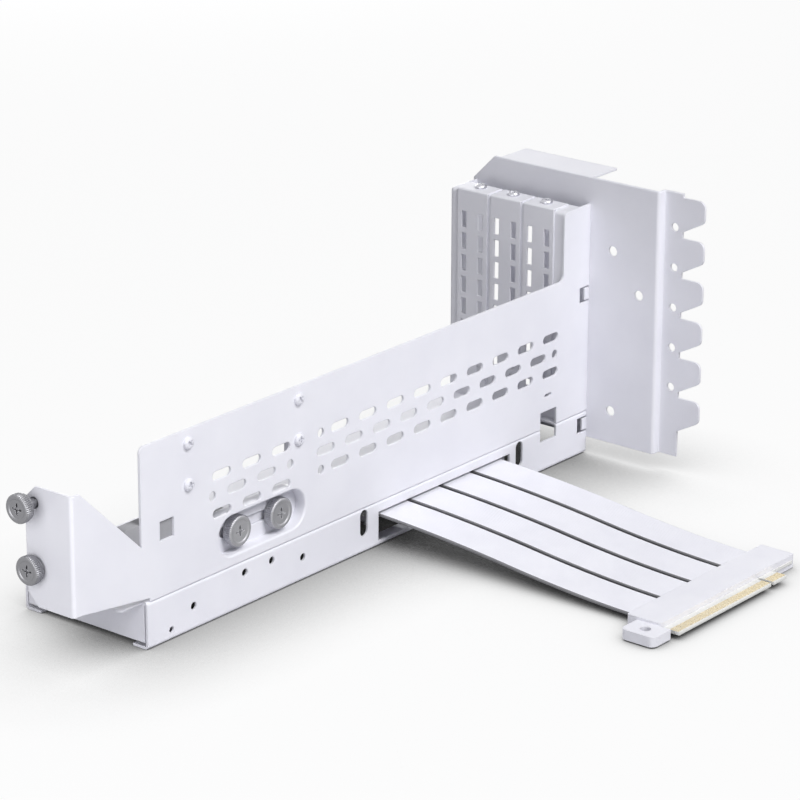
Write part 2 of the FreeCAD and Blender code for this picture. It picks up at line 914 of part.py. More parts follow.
shell = new_sketch(main, "dish_shell_outline", "XZ", ZERO)
add_obround(shell, s.dish_at, dish_height, travel_span, dish_radius + thick)
pad(main, "dish_shell", shell, s.dish_deep + thick)
hollow = new_sketch(main, "dish_hollow_outline", "XZ", ZERO)
add_obround(hollow, s.dish_at, dish_height, travel_span, dish_radius)
cut(main, "dish_hollow", hollow, s.dish_deep)
rim_high = dish_height + dish_radius
rim_low = dish_height - dish_radius
round_edges(main, "dish_rim", s.dish_lip, 0, [(ZERO, rim_high), (ZERO, rim_low)])
travel = new_sketch(main, "travel_slot_outline", "XZ", s.dish_deep)
add_slot(travel, s.dish_at, dish_height, travel_span, s.travel_radius)
cut(main, "travel_slot", travel, thick)

strip_places = [
    (s.strip_1, strip_screw_low),
    (s.strip_1, strip_screw_high),
    (s.strip_2, strip_screw_low),
    (s.strip_2, strip_screw_high),
]
bumper_holes = new_sketch(main, "bumper_holes", "XZ", ZERO)
for u, v in strip_places:
    add_hole(bumper_holes, u, v, hole_radius)
cut(main, "bumper_hole_cut", bumper_holes, thick)
square = new_sketch(main, "square_window", "XZ", ZERO)
square_right = s.square_left + s.square_side
square_high = s.square_low + s.square_side
add_box(square, s.square_left, s.square_low, square_right, square_high)
cut(main, "square_window_cut", square, thick)
dash = new_sketch(main, "dash_slot", "XZ", ZERO)
add_slot(dash, cable_left + s.dash_in, cable_high + s.dash_rise, s.dash_span, s.dash_radius)
cut(main, "dash_slot_cut", dash, thick)
cable_gate = new_sketch(main, "cable_gate", "XZ", ZERO)
add_box(cable_gate, cable_left, s.tray_high, cable_right, cable_high)
cut(main, "cable_gate_cut", cable_gate, thick)
cut_hook_notch(main, "upper_hook_notch", s.hook_upper)

knob_hole = s.knob_neck + s.knob_neck_room
knobs = new_sketch(main, "thumbscrew_holes", "YZ", arm_edge)
add_round(knobs, knob_out, knob_upper, knob_hole, HEAD_SIDES)
add_round(knobs, knob_out, knob_lower, knob_hole, HEAD_SIDES)
cut(main, "thumbscrew_hole_cut", knobs, thick)
feet = new_sketch(main, "foot_holes", "XY", s.tray_high)
for place in foot_places[:3]:
    add_hole(feet, place[0], place[1], hole_radius)
cut(main, "foot_hole_cut", feet, thick)

dots = new_sketch(main, "vent_dots", "XZ", ZERO)
middle_first = field_first - vent_pitch.half()
middle_last = middle_first + vent_pitch * (VENTS_IN_FIELD - 1)
centre_first = group_first + vent_pitch.half()
centre_last = centre_first + vent_pitch * (VENTS_IN_GROUP - 2)
for u, v in (
    (field_first - s.dot_gap, row_low),
    (field_first - s.dot_gap, row_high),
    (middle_last + s.dot_gap, row_mid),
    (centre_first - s.group_dot_gap, row_mid),
    (centre_last + s.group_dot_gap, row_mid),
):
    add_round(dots, u, v, s.vent_radius, ROUND_SIDES)
cut(main, "vent_dot_cut", dots, thick)
field = new_sketch(main, "field_outer_rows", "XZ", ZERO)
add_slot(field, field_first, row_low, s.vent_span, s.vent_radius)
add_slot(field, field_first, row_high, s.vent_span, s.vent_radius)
outer_rows = cut(main, "field_outer_cut", field, thick)
repeat(main, "field_outer", outer_rows, "H_Axis", vent_pitch, VENTS_IN_FIELD)
middle = new_sketch(main, "field_middle_row", "XZ", ZERO)
add_slot(middle, middle_first, row_mid, s.vent_span, s.vent_radius)
middle_row = cut(main, "field_middle_cut", middle, thick)
repeat(main, "field_middle", middle_row, "H_Axis", vent_pitch, VENTS_IN_FIELD)
cluster = new_sketch(main, "group_outer_rows", "XZ", ZERO)
add_slot(cluster, group_first, row_low, s.vent_span, s.vent_radius)
add_slot(cluster, group_first, row_high, s.vent_span, s.vent_radius)
cluster_rows = cut(main, "group_outer_cut", cluster, thick)
repeat(main, "group_outer", cluster_rows, "H_Axis", vent_pitch, VENTS_IN_GROUP)
centre = new_sketch(main, "group_middle_row", "XZ", ZERO)
add_slot(centre, centre_first, row_mid, s.vent_span, s.vent_radius)
centre_row = cut(main, "group_middle_cut", centre, thick)
repeat(main, "group_middle", centre_row, "H_Axis", vent_pitch, VENTS_IN_GROUP - 1)

# Slot frame: panel with three card slots, top ledge, foot, side flange and welding tab

frame = new_body("slot_frame")
ledge_low = s.ear_top - thick
side_near = panel_far - thick
panel = [
    (thick, s.tray_high),
    (panel_far, s.tray_high),
    (panel_far, s.ear_top),
    (thick, s.ear_top),
]
plate(frame, "panel", "YZ", panel_at, panel, thick)
ledge_end = panel_at + s.ledge_reach
ledge = [
    (panel_at, thick),
    (ledge_end, thick),
    (ledge_end, panel_far),
    (panel_at, panel_far),
]
plate(frame, "top_ledge", "XY", ledge_low, ledge, thick)
frame_foot_end = panel_at + s.frame_foot_reach
frame_foot = [
    (panel_at, thick),
    (frame_foot_end, thick),
    (frame_foot_end, panel_far),
    (panel_at, panel_far),
]
plate(frame, "frame_foot", "XY", s.tray_high, frame_foot, thick)
side = [
    (panel_at, s.tray_high),
    (s.tray_long, s.tray_high),
    (s.tray_long, s.ear_top),
    (panel_at, s.ear_top),
]
plate(frame, "side_flange", "XZ", side_near, side, thick)
weld_tab = [
    (panel_at, frame_tab_low),
    (ledge_end, frame_tab_low),
    (ledge_end, frame_tab_high),
    (panel_at, frame_tab_high),
]
plate(frame, "weld_tab", "XZ", thick, weld_tab, thick)
round_edges(frame, "ledge_bend", s.bend_outer, 1, [(panel_at, s.ear_top)])
round_edges(frame, "side_bend", s.bend_outer, 2, [(panel_at, panel_far)])
opening = new_sketch(frame, "card_slot", "YZ", panel_at)
open_near = slot_first - s.slot_open_wide.half()
open_far = slot_first + s.slot_open_wide.half()
add_box(opening, open_near, slot_open_low, open_far, slot_open_high)
card_slot = cut(frame, "card_slot_cut", opening, thick)
repeat(frame, "card_slots", card_slot, "H_Axis", s.slot_pitch, COVER_COUNT)
cover_screw_at = panel_at + s.cover_screw_in
ledge_hole = new_sketch(frame, "ledge_hole", "XY", ledge_low)
add_hole(ledge_hole, cover_screw_at, slot_first, hole_radius)
ledge_holes = cut(frame, "ledge_hole_cut", ledge_hole, thick)
repeat(frame, "ledge_holes", ledge_holes, "V_Axis", s.slot_pitch, COVER_COUNT)
frame_feet = new_sketch(frame, "frame_foot_holes", "XY", s.tray_high)
for place in foot_places[3:]:
    add_hole(frame_feet, place[0], place[1], hole_radius)
cut(frame, "frame_foot_hole_cut", frame_feet, thick)
rear_screw_at = s.tray_long - s.rear_screw_in
lug_lows = (s.lug_1_low, s.lug_2_low)
side_holes = new_sketch(frame, "side_holes", "XZ", side_near)
for low in lug_lows:
    add_hole(side_holes, rear_screw_at, low + s.lug_high.half(), hole_radius)
cut(frame, "side_hole_cut", side_holes, thick)

# Slot covers: vented strips with a folded top tab

cover_front = panel_at - s.cover_thick
cover_top = s.ear_top + s.cover_thick
cover_half = (s.slot_pitch - s.cover_gap).half()
cover_low = s.tray_high + s.cover_rise
tab_end = panel_at + s.cover_tab_reach
cover_pitch = (slot_open_high - slot_open_low).share(COVER_VENTS)
vent_low = slot_open_low + (cover_pitch - s.cover_vent_high).half()
for index in range(COVER_COUNT):
    label = "cover_%d" % (index + 1)
    body = new_body("slot_" + label)
    middle_y = slot_first + s.slot_pitch * index
    near = middle_y - cover_half
    far = middle_y + cover_half
    face = [
        (middle_y - s.cover_tongue.half(), cover_low),
        (middle_y + s.cover_tongue.half(), cover_low),
        (far, slot_open_low),
        (far, cover_top),
        (near, cover_top),
        (near, slot_open_low),
    ]
    plate(body, label + "_face", "YZ", cover_front, face, s.cover_thick)
    top_tab = [(cover_front, near), (tab_end, near), (tab_end, far), (cover_front, far)]
    plate(body, label + "_tab", "XY", s.ear_top, top_tab, s.cover_thick)
    round_edges(body, label + "_bend", s.cover_thick, 1, [(cover_front, cover_top)])
    vents = new_sketch(body, label + "_vents", "YZ", cover_front)
    for column in (middle_y - s.cover_column, middle_y + s.cover_column):
        left = column - s.cover_vent_wide.half()
        right = column + s.cover_vent_wide.half()
        add_box(vents, left, vent_low, right, vent_low + s.cover_vent_high)
    vent_cut = cut(body, label + "_vent_cut", vents, s.cover_thick)
    repeat(body, label + "_vent_rows", vent_cut, "V_Axis", cover_pitch, COVER_VENTS)
    tab_hole = new_sketch(body, label + "_tab_hole", "XY", s.ear_top)
    add_hole(tab_hole, cover_screw_at, middle_y, hole_radius)
    cut(body, label + "_tab_hole_cut", tab_hole, s.cover_thick)

# Rear plate: windows, joggle, comb tongues, top and far flanges, lugs and hooks

rear = new_body("rear_plate")
rear_face = s.tray_long
rear_back = rear_face + thick
comb_front = rear_face + s.joggle_step
comb_back = comb_front + thick
joggle_inner = thick - s.joggle_at
plan = [
    (rear_face, rear_far),
    (rear_face, -s.joggle_at),
    (comb_front, -s.joggle_at),
    (comb_front, -tongue_tip),
    (comb_back, -tongue_tip),
    (comb_back, joggle_inner),
    (rear_back, joggle_inner),
    (rear_back, rear_far),
]
plate(rear, "wall", "XY", rear_low, plan, rear_top - rear_low)
joggle_outer_bends = [(rear_face, -s.joggle_at), (comb_back, joggle_inner)]
round_edges(rear, "joggle_outer_bends", s.bend_outer, 2, joggle_outer_bends)
joggle_inner_bends = [(comb_front, -s.joggle_at), (rear_back, joggle_inner)]
round_edges(rear, "joggle_inner_bends", s.bend_inner, 2, joggle_inner_bends)
flange_end = rear_back + s.top_flange_reach
top_flange_far = rear_far - s.rear_chamfer - s.top_flange_in
top_flange = [
    (rear_face, ZERO),
    (flange_end, ZERO),
    (flange_end, top_flange_far),
    (rear_face, top_flange_far),
]
plate(rear, "top_flange", "XY", rear_top - thick, top_flange, thick)
far_end = rear_back + s.far_flange_reach
far_flange_high = rear_top - s.rear_chamfer - s.far_flange_in
far_flange = [
    (rear_face, rear_low),
    (far_end, rear_low),
    (far_end, far_flange_high),
    (rear_face, far_flange_high),
]
plate(rear, "far_flange", "XZ", panel_far, far_flange, thick)
for index, low in enumerate(lug_lows):
    high = low + s.lug_high
    lug_left = rear_face - s.lug_reach
    lug = [(lug_left, low), (rear_back, low), (rear_back, high), (lug_left, high)]
    plate(rear, "lug_%d" % (index + 1), "XZ", panel_far, lug, thick)
for index, low in enumerate((s.hook_lower, s.hook_upper)):
    high = low + s.hook_high
    tip = rear_face - s.hook_reach
    hook = [(tip, low), (rear_back, low), (rear_back, high), (tip, high)]
    plate(rear, "hook_%d" % (index + 1), "XZ", ZERO, hook, thick)
round_edges(
    rear,
    "far_flange_bend",
    s.bend_inner,
    1,
    [(rear_face, rear_top)],
)

windows = new_sketch(rear, "card_windows", "YZ", rear_face)
window_foot = slot_open_low - s.window_under
window_head = slot_open_high + s.window_over
window_half = (s.slot_pitch - s.bridge_wide).half()
for index in range(COVER_COUNT):
    middle_y = slot_first + s.slot_pitch * index
    far = middle_y + window_half
    if index == COVER_COUNT - 1:
        far = panel_far - s.window_side
    add_box(windows, middle_y - window_half, window_foot, far, window_head)
cut(rear, "card_window_cut", windows, thick)
slant = new_sketch(rear, "far_corner", "YZ", rear_face)
add_loop(
    slant,
    [
        (rear_far - s.rear_chamfer, rear_top),
        (rear_far, rear_top - s.rear_chamfer),
        (rear_far, rear_top),
    ],
)
cut(rear, "far_corner_cut", slant, thick)
wall_holes = new_sketch(rear, "wall_holes", "YZ", rear_face)
for out, height in (
    (s.rear_hole_1_out, s.rear_hole_1_height),
    (s.rear_hole_2_out, s.rear_hole_2_height),
    (s.rear_hole_3_out, s.rear_hole_3_height),
):
    add_round(wall_holes, -out, height, s.rear_hole_radius, ROUND_SIDES)
cut(rear, "wall_hole_cut", wall_holes, thick)

gap = new_sketch(rear, "comb_gap", "YZ", comb_front)
gap_low = s.tongue_first + tip_half
gap_high = s.tongue_first + s.slot_pitch - tip_half
add_loop(
    gap,
    [
        (-tongue_tip, gap_low),
        (-tongue_root, gap_low),
        (-tongue_root, gap_low + s.tongue_gap),
        (-tongue_tip, gap_high),
    ],
)
gap_cut = cut(rear, "comb_gap_cut", gap, thick)
repeat(rear, "comb_gaps", gap_cut, "V_Axis", s.slot_pitch, TONGUE_COUNT - 1)
under = new_sketch(rear, "comb_foot", "YZ", comb_front)
under_high = gap_low + s.tongue_gap - s.slot_pitch
add_loop(
    under,
    [
        (-tongue_tip, rear_low),
        (-tongue_root, rear_low),
        (-tongue_root, under_high),
        (-tongue_tip, s.tongue_first - tip_half),
    ],
)
cut(rear, "comb_foot_cut", under, thick)
over = new_sketch(rear, "comb_head", "YZ", comb_front)
add_box(over, -tongue_tip, last_tongue + tip_half, -tongue_root, rear_top)
cut(rear, "comb_head_cut", over, thick)
tips = []
for index in range(TONGUE_COUNT):
    height = s.tongue_first + s.slot_pitch * index
    tips.append((-tongue_tip, height - tip_half))
    tips.append((-tongue_tip, height + tip_half))
round_edges(rear, "tongue_tips", s.tongue_round, 0, tips)
case = new_sketch(rear, "case_hole", "YZ", comb_front)
case_height = s.tongue_first + s.slot_pitch.half()
add_circle(case, -case_hole_out, case_height, s.case_hole_radius)
case_cut = cut(rear, "case_hole_cut", case, thick)
repeat(rear, "case_holes", case_cut, "V_Axis", s.slot_pitch, TONGUE_COUNT - 1)
lug_holes = new_sketch(rear, "lug_holes", "XZ", panel_far)
for low in lug_lows:
    add_hole(lug_holes, rear_screw_at, low + s.lug_high.half(), hole_radius)
cut(rear, "lug_hole_cut", lug_holes, thick)

# Small screws

feet_screws = []
for index, place in enumerate(foot_places):
    where = (place[0], place[1], foot_top)
    feet_screws.append(screw("foot_screw_%d" % (index + 1), where, s.shank_long, 0.0))
group("foot_screws", feet_screws)
cover_screws = []
for index in range(COVER_COUNT):
    where = (cover_screw_at, slot_first + s.slot_pitch * index, cover_top)
    cover_screws.append(screw("cover_screw_%d" % (index + 1), where, s.shank_long, 0.0))
group("slot_cover_screws", cover_screws)
rear_screws = []
for index, low in enumerate(lug_lows):
    where = (rear_screw_at, rear_far, low + s.lug_high.half())
    name = "rear_screw_%d" % (index + 1)
    rear_screws.append(screw(name, where, s.shank_long, -QUARTER_TURN))
group("rear_screws", rear_screws)
bumper_screws = []
for index, place in enumerate(strip_places):
    where = (place[0], ZERO, place[1])
    name = "bumper_screw_%d" % (index + 1)
    bumper_screws.append(screw(name, where, thick + s.strip_thick.half(), QUARTER_TURN))
group("bumper_screws", bumper_screws)


# Knurled thumbscrews and their retaining washers

def thumbscrew(name, radius, high, neck, long):
    """Head with a knurled band at the start of the local X axis with a plain neck behind it."""
    body = new_body(name)
    bevel = s.knob_chamfer
    point = s.knob_point
    profile = new_sketch(body, name + "_profile", "XZ", ZERO)
    add_loop(
        profile,
        [
            (ZERO, ZERO),
            (ZERO, radius - bevel),
            (bevel, radius),
            (high - bevel, radius),
            (high, radius - bevel),
            (high, neck),
            (high + long - point, neck),
            (high + long, neck - point),
            (high + long, ZERO),
        ],
    )
    turned = body.newObject("PartDesign::Revolution", name + "_turned")
    turned.Profile = profile
    turned.ReferenceAxis = (profile, ["H_Axis"])
    turned.Angle = FULL_TURN
    doc.recompute()
    groove = new_sketch(body, name + "_flute", "YZ", bevel)
    outside = radius + s.flute_out
    inside = radius - s.flute_deep
    add_loop(groove, [(outside, -s.flute_half), (outside, s.flute_half), (inside, ZERO)])
    flute = cut(body, name + "_flute_cut", groove, high - bevel * 2)
    knurl = body.newObject("PartDesign::PolarPattern", name + "_knurl")
    knurl.Originals = [flute]
    knurl.Axis = (groove, ["N_Axis"])
    knurl.Angle = FULL_TURN
    knurl.Occurrences = FLUTE_COUNT
    body.Tip = knurl
    doc.recompute()
    cross = new_sketch(body, name + "_cross", "YZ", ZERO)
    far = s.cross_long.half()
    near = s.cross_wide.half()
    add_loop(
        cross,
        [
            (-far, -near),
            (-near, -near),
            (-near, -far),
            (near, -far),
            (near, -near),
            (far, -near),
            (far, near),
            (near, near),
            (near, far),
            (-near, far),
            (-near, near),
            (-far, near),
        ],
    )
    cut(body, name + "_cross_cut", cross, s.cross_deep)
    return body


def washer(name, x, y, z):
    """Ring on the neck of a captive thumbscrew, axis along X."""
    body = new_body(name)
    ring = new_sketch(body, name + "_ring", "YZ", ZERO)
    add_circle(ring, ZERO, ZERO, s.washer_radius)
    add_circle(ring, ZERO, ZERO, s.knob_neck)
    pad(body, name + "_pad", ring, s.washer_thick)
    move(body, *moved(x, y, z))
    return body


for label, gap_size, height in (
    ("upper", s.knob_upper_gap, knob_upper),
    ("lower", s.knob_lower_gap, knob_lower),
):
    knob = thumbscrew(
        "thumbscrew_" + label,
        s.knob_radius,
        s.knob_high,
        s.knob_neck,
        s.knob_long,
    )
    knob_at = arm_edge - gap_size - s.knob_high
    move(knob, *moved(knob_at, knob_out, height))
    pulled = s.knob_upper_gap - gap_size
    washer_at = arm_edge + thick + s.body_room + pulled
    washer("retainer_" + label, washer_at, knob_out, height)

# Card rest: angle bracket clamped to the dish by two knurled screws, with a soft pad

rest_near = s.dish_deep + thick + s.body_room
rest_back = rest_near + s.rest_thick
rest_places = (
    s.dish_at - s.rest_pitch.half(),
    s.dish_at + s.rest_pitch.half(),
)
rest = new_body("rest_arm")
rest_left = rest_places[0] - s.rest_side
rest_right = rest_places[1] + s.rest_side
rest_high = rest_arm_low + s.rest_thick
leg = [
    (rest_left, rest_arm_low),
    (rest_right, rest_arm_low),
    (rest_right, rest_top),
    (rest_left, rest_top),
]
plate(rest, "rest_leg", "XZ", rest_near, leg, s.rest_thick)
arm_left = s.dish_at - s.rest_arm_wide.half()
arm_right = s.dish_at + s.rest_arm_wide.half()
arm_far = rest_near + s.rest_arm_reach
arm = [
    (arm_left, rest_near),
    (arm_right, rest_near),
    (arm_right, arm_far),
    (arm_left, arm_far),
]
plate(rest, "rest_shelf", "XY", rest_arm_low, arm, s.rest_thick)
round_edges(
    rest,
    "rest_shelf_corners",
    s.corner_round,
    2,
    [(arm_left, arm_far), (arm_right, arm_far)],
)
round_edges(
    rest,
    "rest_leg_corners",
    s.corner_round,
    1,
    [(rest_left, rest_top), (rest_right, rest_top)],
)
rest_holes = new_sketch(rest, "rest_holes", "XZ", rest_near)
for at in rest_places:
    add_hole(rest_holes, at, dish_height, s.rest_neck + s.shank_room)
cut(rest, "rest_hole_cut", rest_holes, s.rest_thick)
cushion = new_body("rest_pad")
pad_left = arm_left + s.rest_pad_side
pad_right = arm_right - s.rest_pad_side
pad_near = rest_back + s.rest_pad_in
pad_far = arm_far - s.rest_pad_side
cushion_outline = [
    (pad_left, pad_near),
    (pad_right, pad_near),
    (pad_right, pad_far),
    (pad_left, pad_far),
]
plate(cushion, "rest_cushion", "XY", rest_high, cushion_outline, s.rest_pad_thick)
round_edges(
    cushion,
    "rest_cushion_corners",
    s.corner_round,
    2,
    cushion_outline,
)
nuts = []
for index, at in enumerate(rest_places):
    knob = thumbscrew(
        "rest_screw_%d" % (index + 1),
        s.rest_knob_radius,
        s.rest_knob_high,
        s.rest_neck,
        s.rest_knob_long,
    )
    knob.Placement = FreeCAD.Placement(FreeCAD.Vector(), FreeCAD.Rotation(UPWARD, QUARTER_TURN))
    head_at = s.dish_deep - s.body_room - s.rest_knob_high
    move(knob, *moved(at, head_at, dish_height))
    name = "rest_nut_%d" % (index + 1)
    hexagon = bar(name + "_hex", s.nut_across.half(), s.nut_high, ZERO, HEX_SIDES)
    bore_radius = (s.rest_neck + s.shank_room) * HOLE_OVER
    bore = bar(name + "_bore", bore_radius, s.nut_high, ZERO, HOLE_SIDES)
    nut = doc.addObject("Part::Cut", name)
    nut.Base = hexagon
    nut.Tool = bore
    nut.Placement = FreeCAD.Placement(FreeCAD.Vector(), FreeCAD.Rotation(ACROSS, -QUARTER_TURN))
    move(nut, *moved(at, rest_back, dish_height))
    nuts.append(nut)
group("rest_nuts", nuts)

# Cushions behind the upright plate

bumper = new_body("front_bumper")
bumper_high = s.bumper_low + s.bumper_tall
bumper_face = [
    (-s.bumper_left, s.bumper_low),
    (s.bumper_right, s.bumper_low),
    (s.bumper_right, bumper_high),
    (-s.bumper_left, bumper_high),
]
plate(bumper, "bumper_block", "XZ", thick, bumper_face, s.bumper_thick)
round_edges(bumper, "bumper_corners", s.corner_round, 1, bumper_face)
strips = []
for index, at in enumerate((s.strip_1, s.strip_2)):
    body = doc.addObject("PartDesign::Body", "back_bumper_%d" % (index + 1))
    left = at - s.strip_wide.half()
    right = at + s.strip_wide.half()
    strip = [
        (left, strip_low),
        (right, strip_low),
        (right, strip_high),
        (left, strip_high),
    ]
    plate(body, "strip_%d" % (index + 1), "XZ", thick, strip, s.strip_thick)
    bores = new_sketch(body, "strip_bores_%d" % (index + 1), "XZ", thick)
    for height in (strip_screw_low, strip_screw_high):
        add_hole(bores, at, height, hole_radius)
    cut(body, "strip_bore_cut_%d" % (index + 1), bores, s.strip_thick.half())
    move(body, *shift)
    strips.append(body)
group("back_bumpers", strips)

# Riser board with its spacers and screws

clamp_places = (
    clamp_left + s.clamp_block.half(),
    clamp_right - s.clamp_block.half(),
)
clamp_middle = s.clamp_near + s.clamp_deep.half()
board = new_body("riser_board")
board_outline = [
    (board_left, s.board_near),
    (board_right, s.board_near),
    (board_right, board_far),
    (board_left, board_far),
]
plate(board, "board_slab", "XY", s.board_low, board_outline, s.board_thick)
board_holes = new_sketch(board, "board_holes", "XY", s.board_low)
for place in board_places:
    add_hole(board_holes, place[0], place[1], hole_radius)
for at in clamp_places:
    add_hole(board_holes, at, clamp_middle, hole_radius)
cut(board, "board_hole_cut", board_holes, s.board_thick)
spacers = []
board_screws = []
spacer_high = floor_low - board_top
for index, place in enumerate(board_places):
    name = "standoff_%d" % (index + 1)
    outer = bar(name + "_body", s.standoff_radius, spacer_high, ZERO, HEX_SIDES)
    bore = bar(name + "_bore", hole_radius * HOLE_OVER, spacer_high, ZERO, HOLE_SIDES)
    spacer = doc.addObject("Part::Cut", name)
    spacer.Base = outer
    spacer.Tool = bore
    move(spacer, *moved(place[0], place[1], board_top))
    spacers.append(spacer)
    where = (place[0], place[1], s.board_low)
    name = "board_screw_%d" % (index + 1)
    board_screws.append(screw(name, where, s.shank_long, HALF_TURN))
group("board_standoffs", spacers)
group("board_screws", board_screws)

# Card slot: housing with keyed groove, pivot ears, contacts and the swinging latch

socket = new_body("riser_slot")
socket_plan = [
    (socket_left, socket_near),
    (socket_right, socket_near),
    (socket_right, socket_far),
    (socket_left, socket_far),
]
plate(socket, "socket_block", "XY", board_top, socket_plan, socket_top - board_top)
ear_end = socket_left - s.ear_reach
ear_high = board_top + s.ear_tall
for label, near in (("near", socket_near), ("far", socket_far - s.ear_thick)):
    ear = [
        (ear_end, board_top),
        (socket_left, board_top),
        (socket_left, ear_high),
        (ear_end, ear_high),
    ]
    plate(socket, "ear_" + label, "XZ", near, ear, s.ear_thick)
    round_edges(socket, "ear_round_" + label, s.corner_round, 1, [(ear_end, ear_high)])
socket_middle = (socket_near + socket_far).half()
groove_near = socket_middle - s.groove_wide.half()
groove_far = socket_middle + s.groove_wide.half()
groove_left = socket_left + s.groove_margin
groove_right = socket_right - s.groove_margin
key_right = groove_right - s.groove_short
key_left = key_right - s.groove_key
groove_low = socket_top - s.groove_deep
groove = new_sketch(socket, "card_groove", "XY", groove_low)
add_box(groove, groove_left, groove_near, key_left, groove_far)
add_box(groove, key_right, groove_near, groove_right, groove_far)
cut(socket, "card_groove_cut", groove, s.groove_deep)
pivot = new_sketch(socket, "pivot_hole", "XZ", socket_near)
add_circle(pivot, pivot_at, pivot_height, s.pivot_radius + s.body_room)
cut(socket, "pivot_hole_cut", pivot, socket_far - socket_near)
pins = []
pin_low = groove_low + s.pin_rise
pin_tall = socket_top - s.pin_drop - pin_low
pin_size = (s.pin_wide, s.pin_thick, pin_tall)
pin_starts = []
for start, end, count in (
    (groove_left, key_left, LONG_PINS),
    (key_right, groove_right, SHORT_PINS),
):
    pitch = (end - start).share(count + 1)
    for index in range(count):
        pin_starts.append(start + pitch * (index + 1) - s.pin_wide.half())
for index, start in enumerate(pin_starts):
    for label, near in (("near", groove_near), ("far", groove_far - s.pin_thick)):
        name = "slot_contact_%s_%d" % (label, index + 1)
        pins.append(block(name, (start, near, pin_low), pin_size))
group("slot_contacts", pins)

latch = new_body("slot_latch")
latch_near = socket_near + s.ear_thick + s.body_room
latch_deep = socket_far - s.ear_thick - s.body_room - latch_near
latch_low = board_top + s.latch_rise
latch_neck = pivot_height + s.latch_neck_rise
hook_low = socket_top + s.latch_hook_rise
hook_top = hook_low + s.latch_hook_tall
thumb_top = hook_top + s.latch_thumb_rise
lever = [
    (pivot_at - s.latch_half, latch_low),
    (pivot_at + s.latch_half, latch_low),
    (pivot_at + s.latch_half, latch_neck),
    (pivot_at + s.latch_hook_out, hook_low),
    (pivot_at + s.latch_hook_out, hook_top),
    (pivot_at - s.latch_half, thumb_top),
    (pivot_at - s.latch_thumb_out, thumb_top),
    (pivot_at - s.latch_thumb_out, thumb_top - s.latch_thumb_thick),
    (pivot_at - s.latch_half, latch_neck),
]
plate(latch, "lever", "XZ", latch_near, lever, latch_deep)
stub_near = socket_near + s.shank_room
stub = new_sketch(latch, "pivot_stub", "XZ", stub_near)
add_circle(stub, pivot_at, pivot_height, s.pivot_radius)
pad(latch, "pivot_stub_pad", stub, socket_far - s.shank_room - stub_near)

# Ribbon clamp under the board

clamp = new_body("ribbon_clamp")
clamp_face = [
    (clamp_left, clamp_low),
    (clamp_right, clamp_low),
    (clamp_right, s.board_low),
    (clamp_right - s.clamp_block, s.board_low),
    (clamp_right - s.clamp_block, clamp_inner),
    (clamp_left + s.clamp_block, clamp_inner),
    (clamp_left + s.clamp_block, s.board_low),
    (clamp_left, s.board_low),
]
plate(clamp, "clamp_bar", "XZ", s.clamp_near, clamp_face, s.clamp_deep)
clamp_bores = new_sketch(clamp, "clamp_bores", "XY", clamp_low)
for at in clamp_places:
    add_hole(clamp_bores, at, clamp_middle, hole_radius)
cut(clamp, "clamp_bore_cut", clamp_bores, s.board_low - clamp_low)
clamp_screws = []
for index, at in enumerate(clamp_places):
    where = (at, clamp_middle, clamp_low)
    name = "clamp_screw_%d" % (index + 1)
    clamp_screws.append(screw(name, where, s.shank_long, HALF_TURN))
group("clamp_screws", clamp_screws)

# Ribbon strips: straight runs joined by wide arcs, from under the board to the plug

route = (
    (s.route_1_out, route_1_height),
    (-s.route_2_out, s.route_2_height),
    (-s.route_3_out, route_4_height),
    (-s.route_4_out, route_4_height),
)


def add_route(sketch, points, radii):
    """Straight runs through the points, joined by tangent arcs of the given radii."""
    spots = [flat(*point) for point in points]
    cuts = [spots[0]]
    arcs = []
    for i, radius in enumerate(radii, start=1):
        inward = (spots[i] - spots[i - 1]).normalize()
        onward = (spots[i + 1] - spots[i]).normalize()
        turn = inward.x * onward.y - inward.y * onward.x
        reach = radius.number * math.tan(inward.getAngle(onward) / 2)
        sideways = FreeCAD.Vector(-inward.y, inward.x, 0) * math.copysign(radius.number, turn)
        entry = spots[i] - inward * reach
        leave = spots[i] + onward * reach
        circle = Part.Circle(entry + sideways, UPWARD, radius.number)
        ends = (entry, leave) if turn > 0 else (leave, entry)
        arcs.append((Part.ArcOfCircle(circle, *[circle.parameter(end) for end in ends]), turn > 0))
        cuts += [entry, leave]
    cuts.append(spots[-1])
    lines = []
    for i in range(0, len(cuts), 2):
        lines.append(sketch.addGeometry(Part.LineSegment(cuts[i], cuts[i + 1]), False))
    for i, (arc, forward) in enumerate(arcs):
        item = sketch.addGeometry(arc, False)
        entry, leave = (START, END) if forward else (END, START)
        sketch.addConstraint(Sketcher.Constraint("Tangent", lines[i], END, item, entry))
        sketch.addConstraint(Sketcher.Constraint("Tangent", item, leave, lines[i + 1], START))
        bind(sketch, Sketcher.Constraint("Radius", item, radii[i].number), radii[i])
        corner = sketch.addGeometry(Part.Point(spots[i + 1]), True)
        pin(sketch, corner, START, *points[i + 1])
        for line in (lines[i], lines[i + 1]):
            sketch.addConstraint(Sketcher.Constraint("PointOnObject", corner, START, line))
    pin(sketch, lines[0], START, *points[0])
    pin(sketch, lines[-1], END, *points[-1])
    return lines[0], lines[-1]


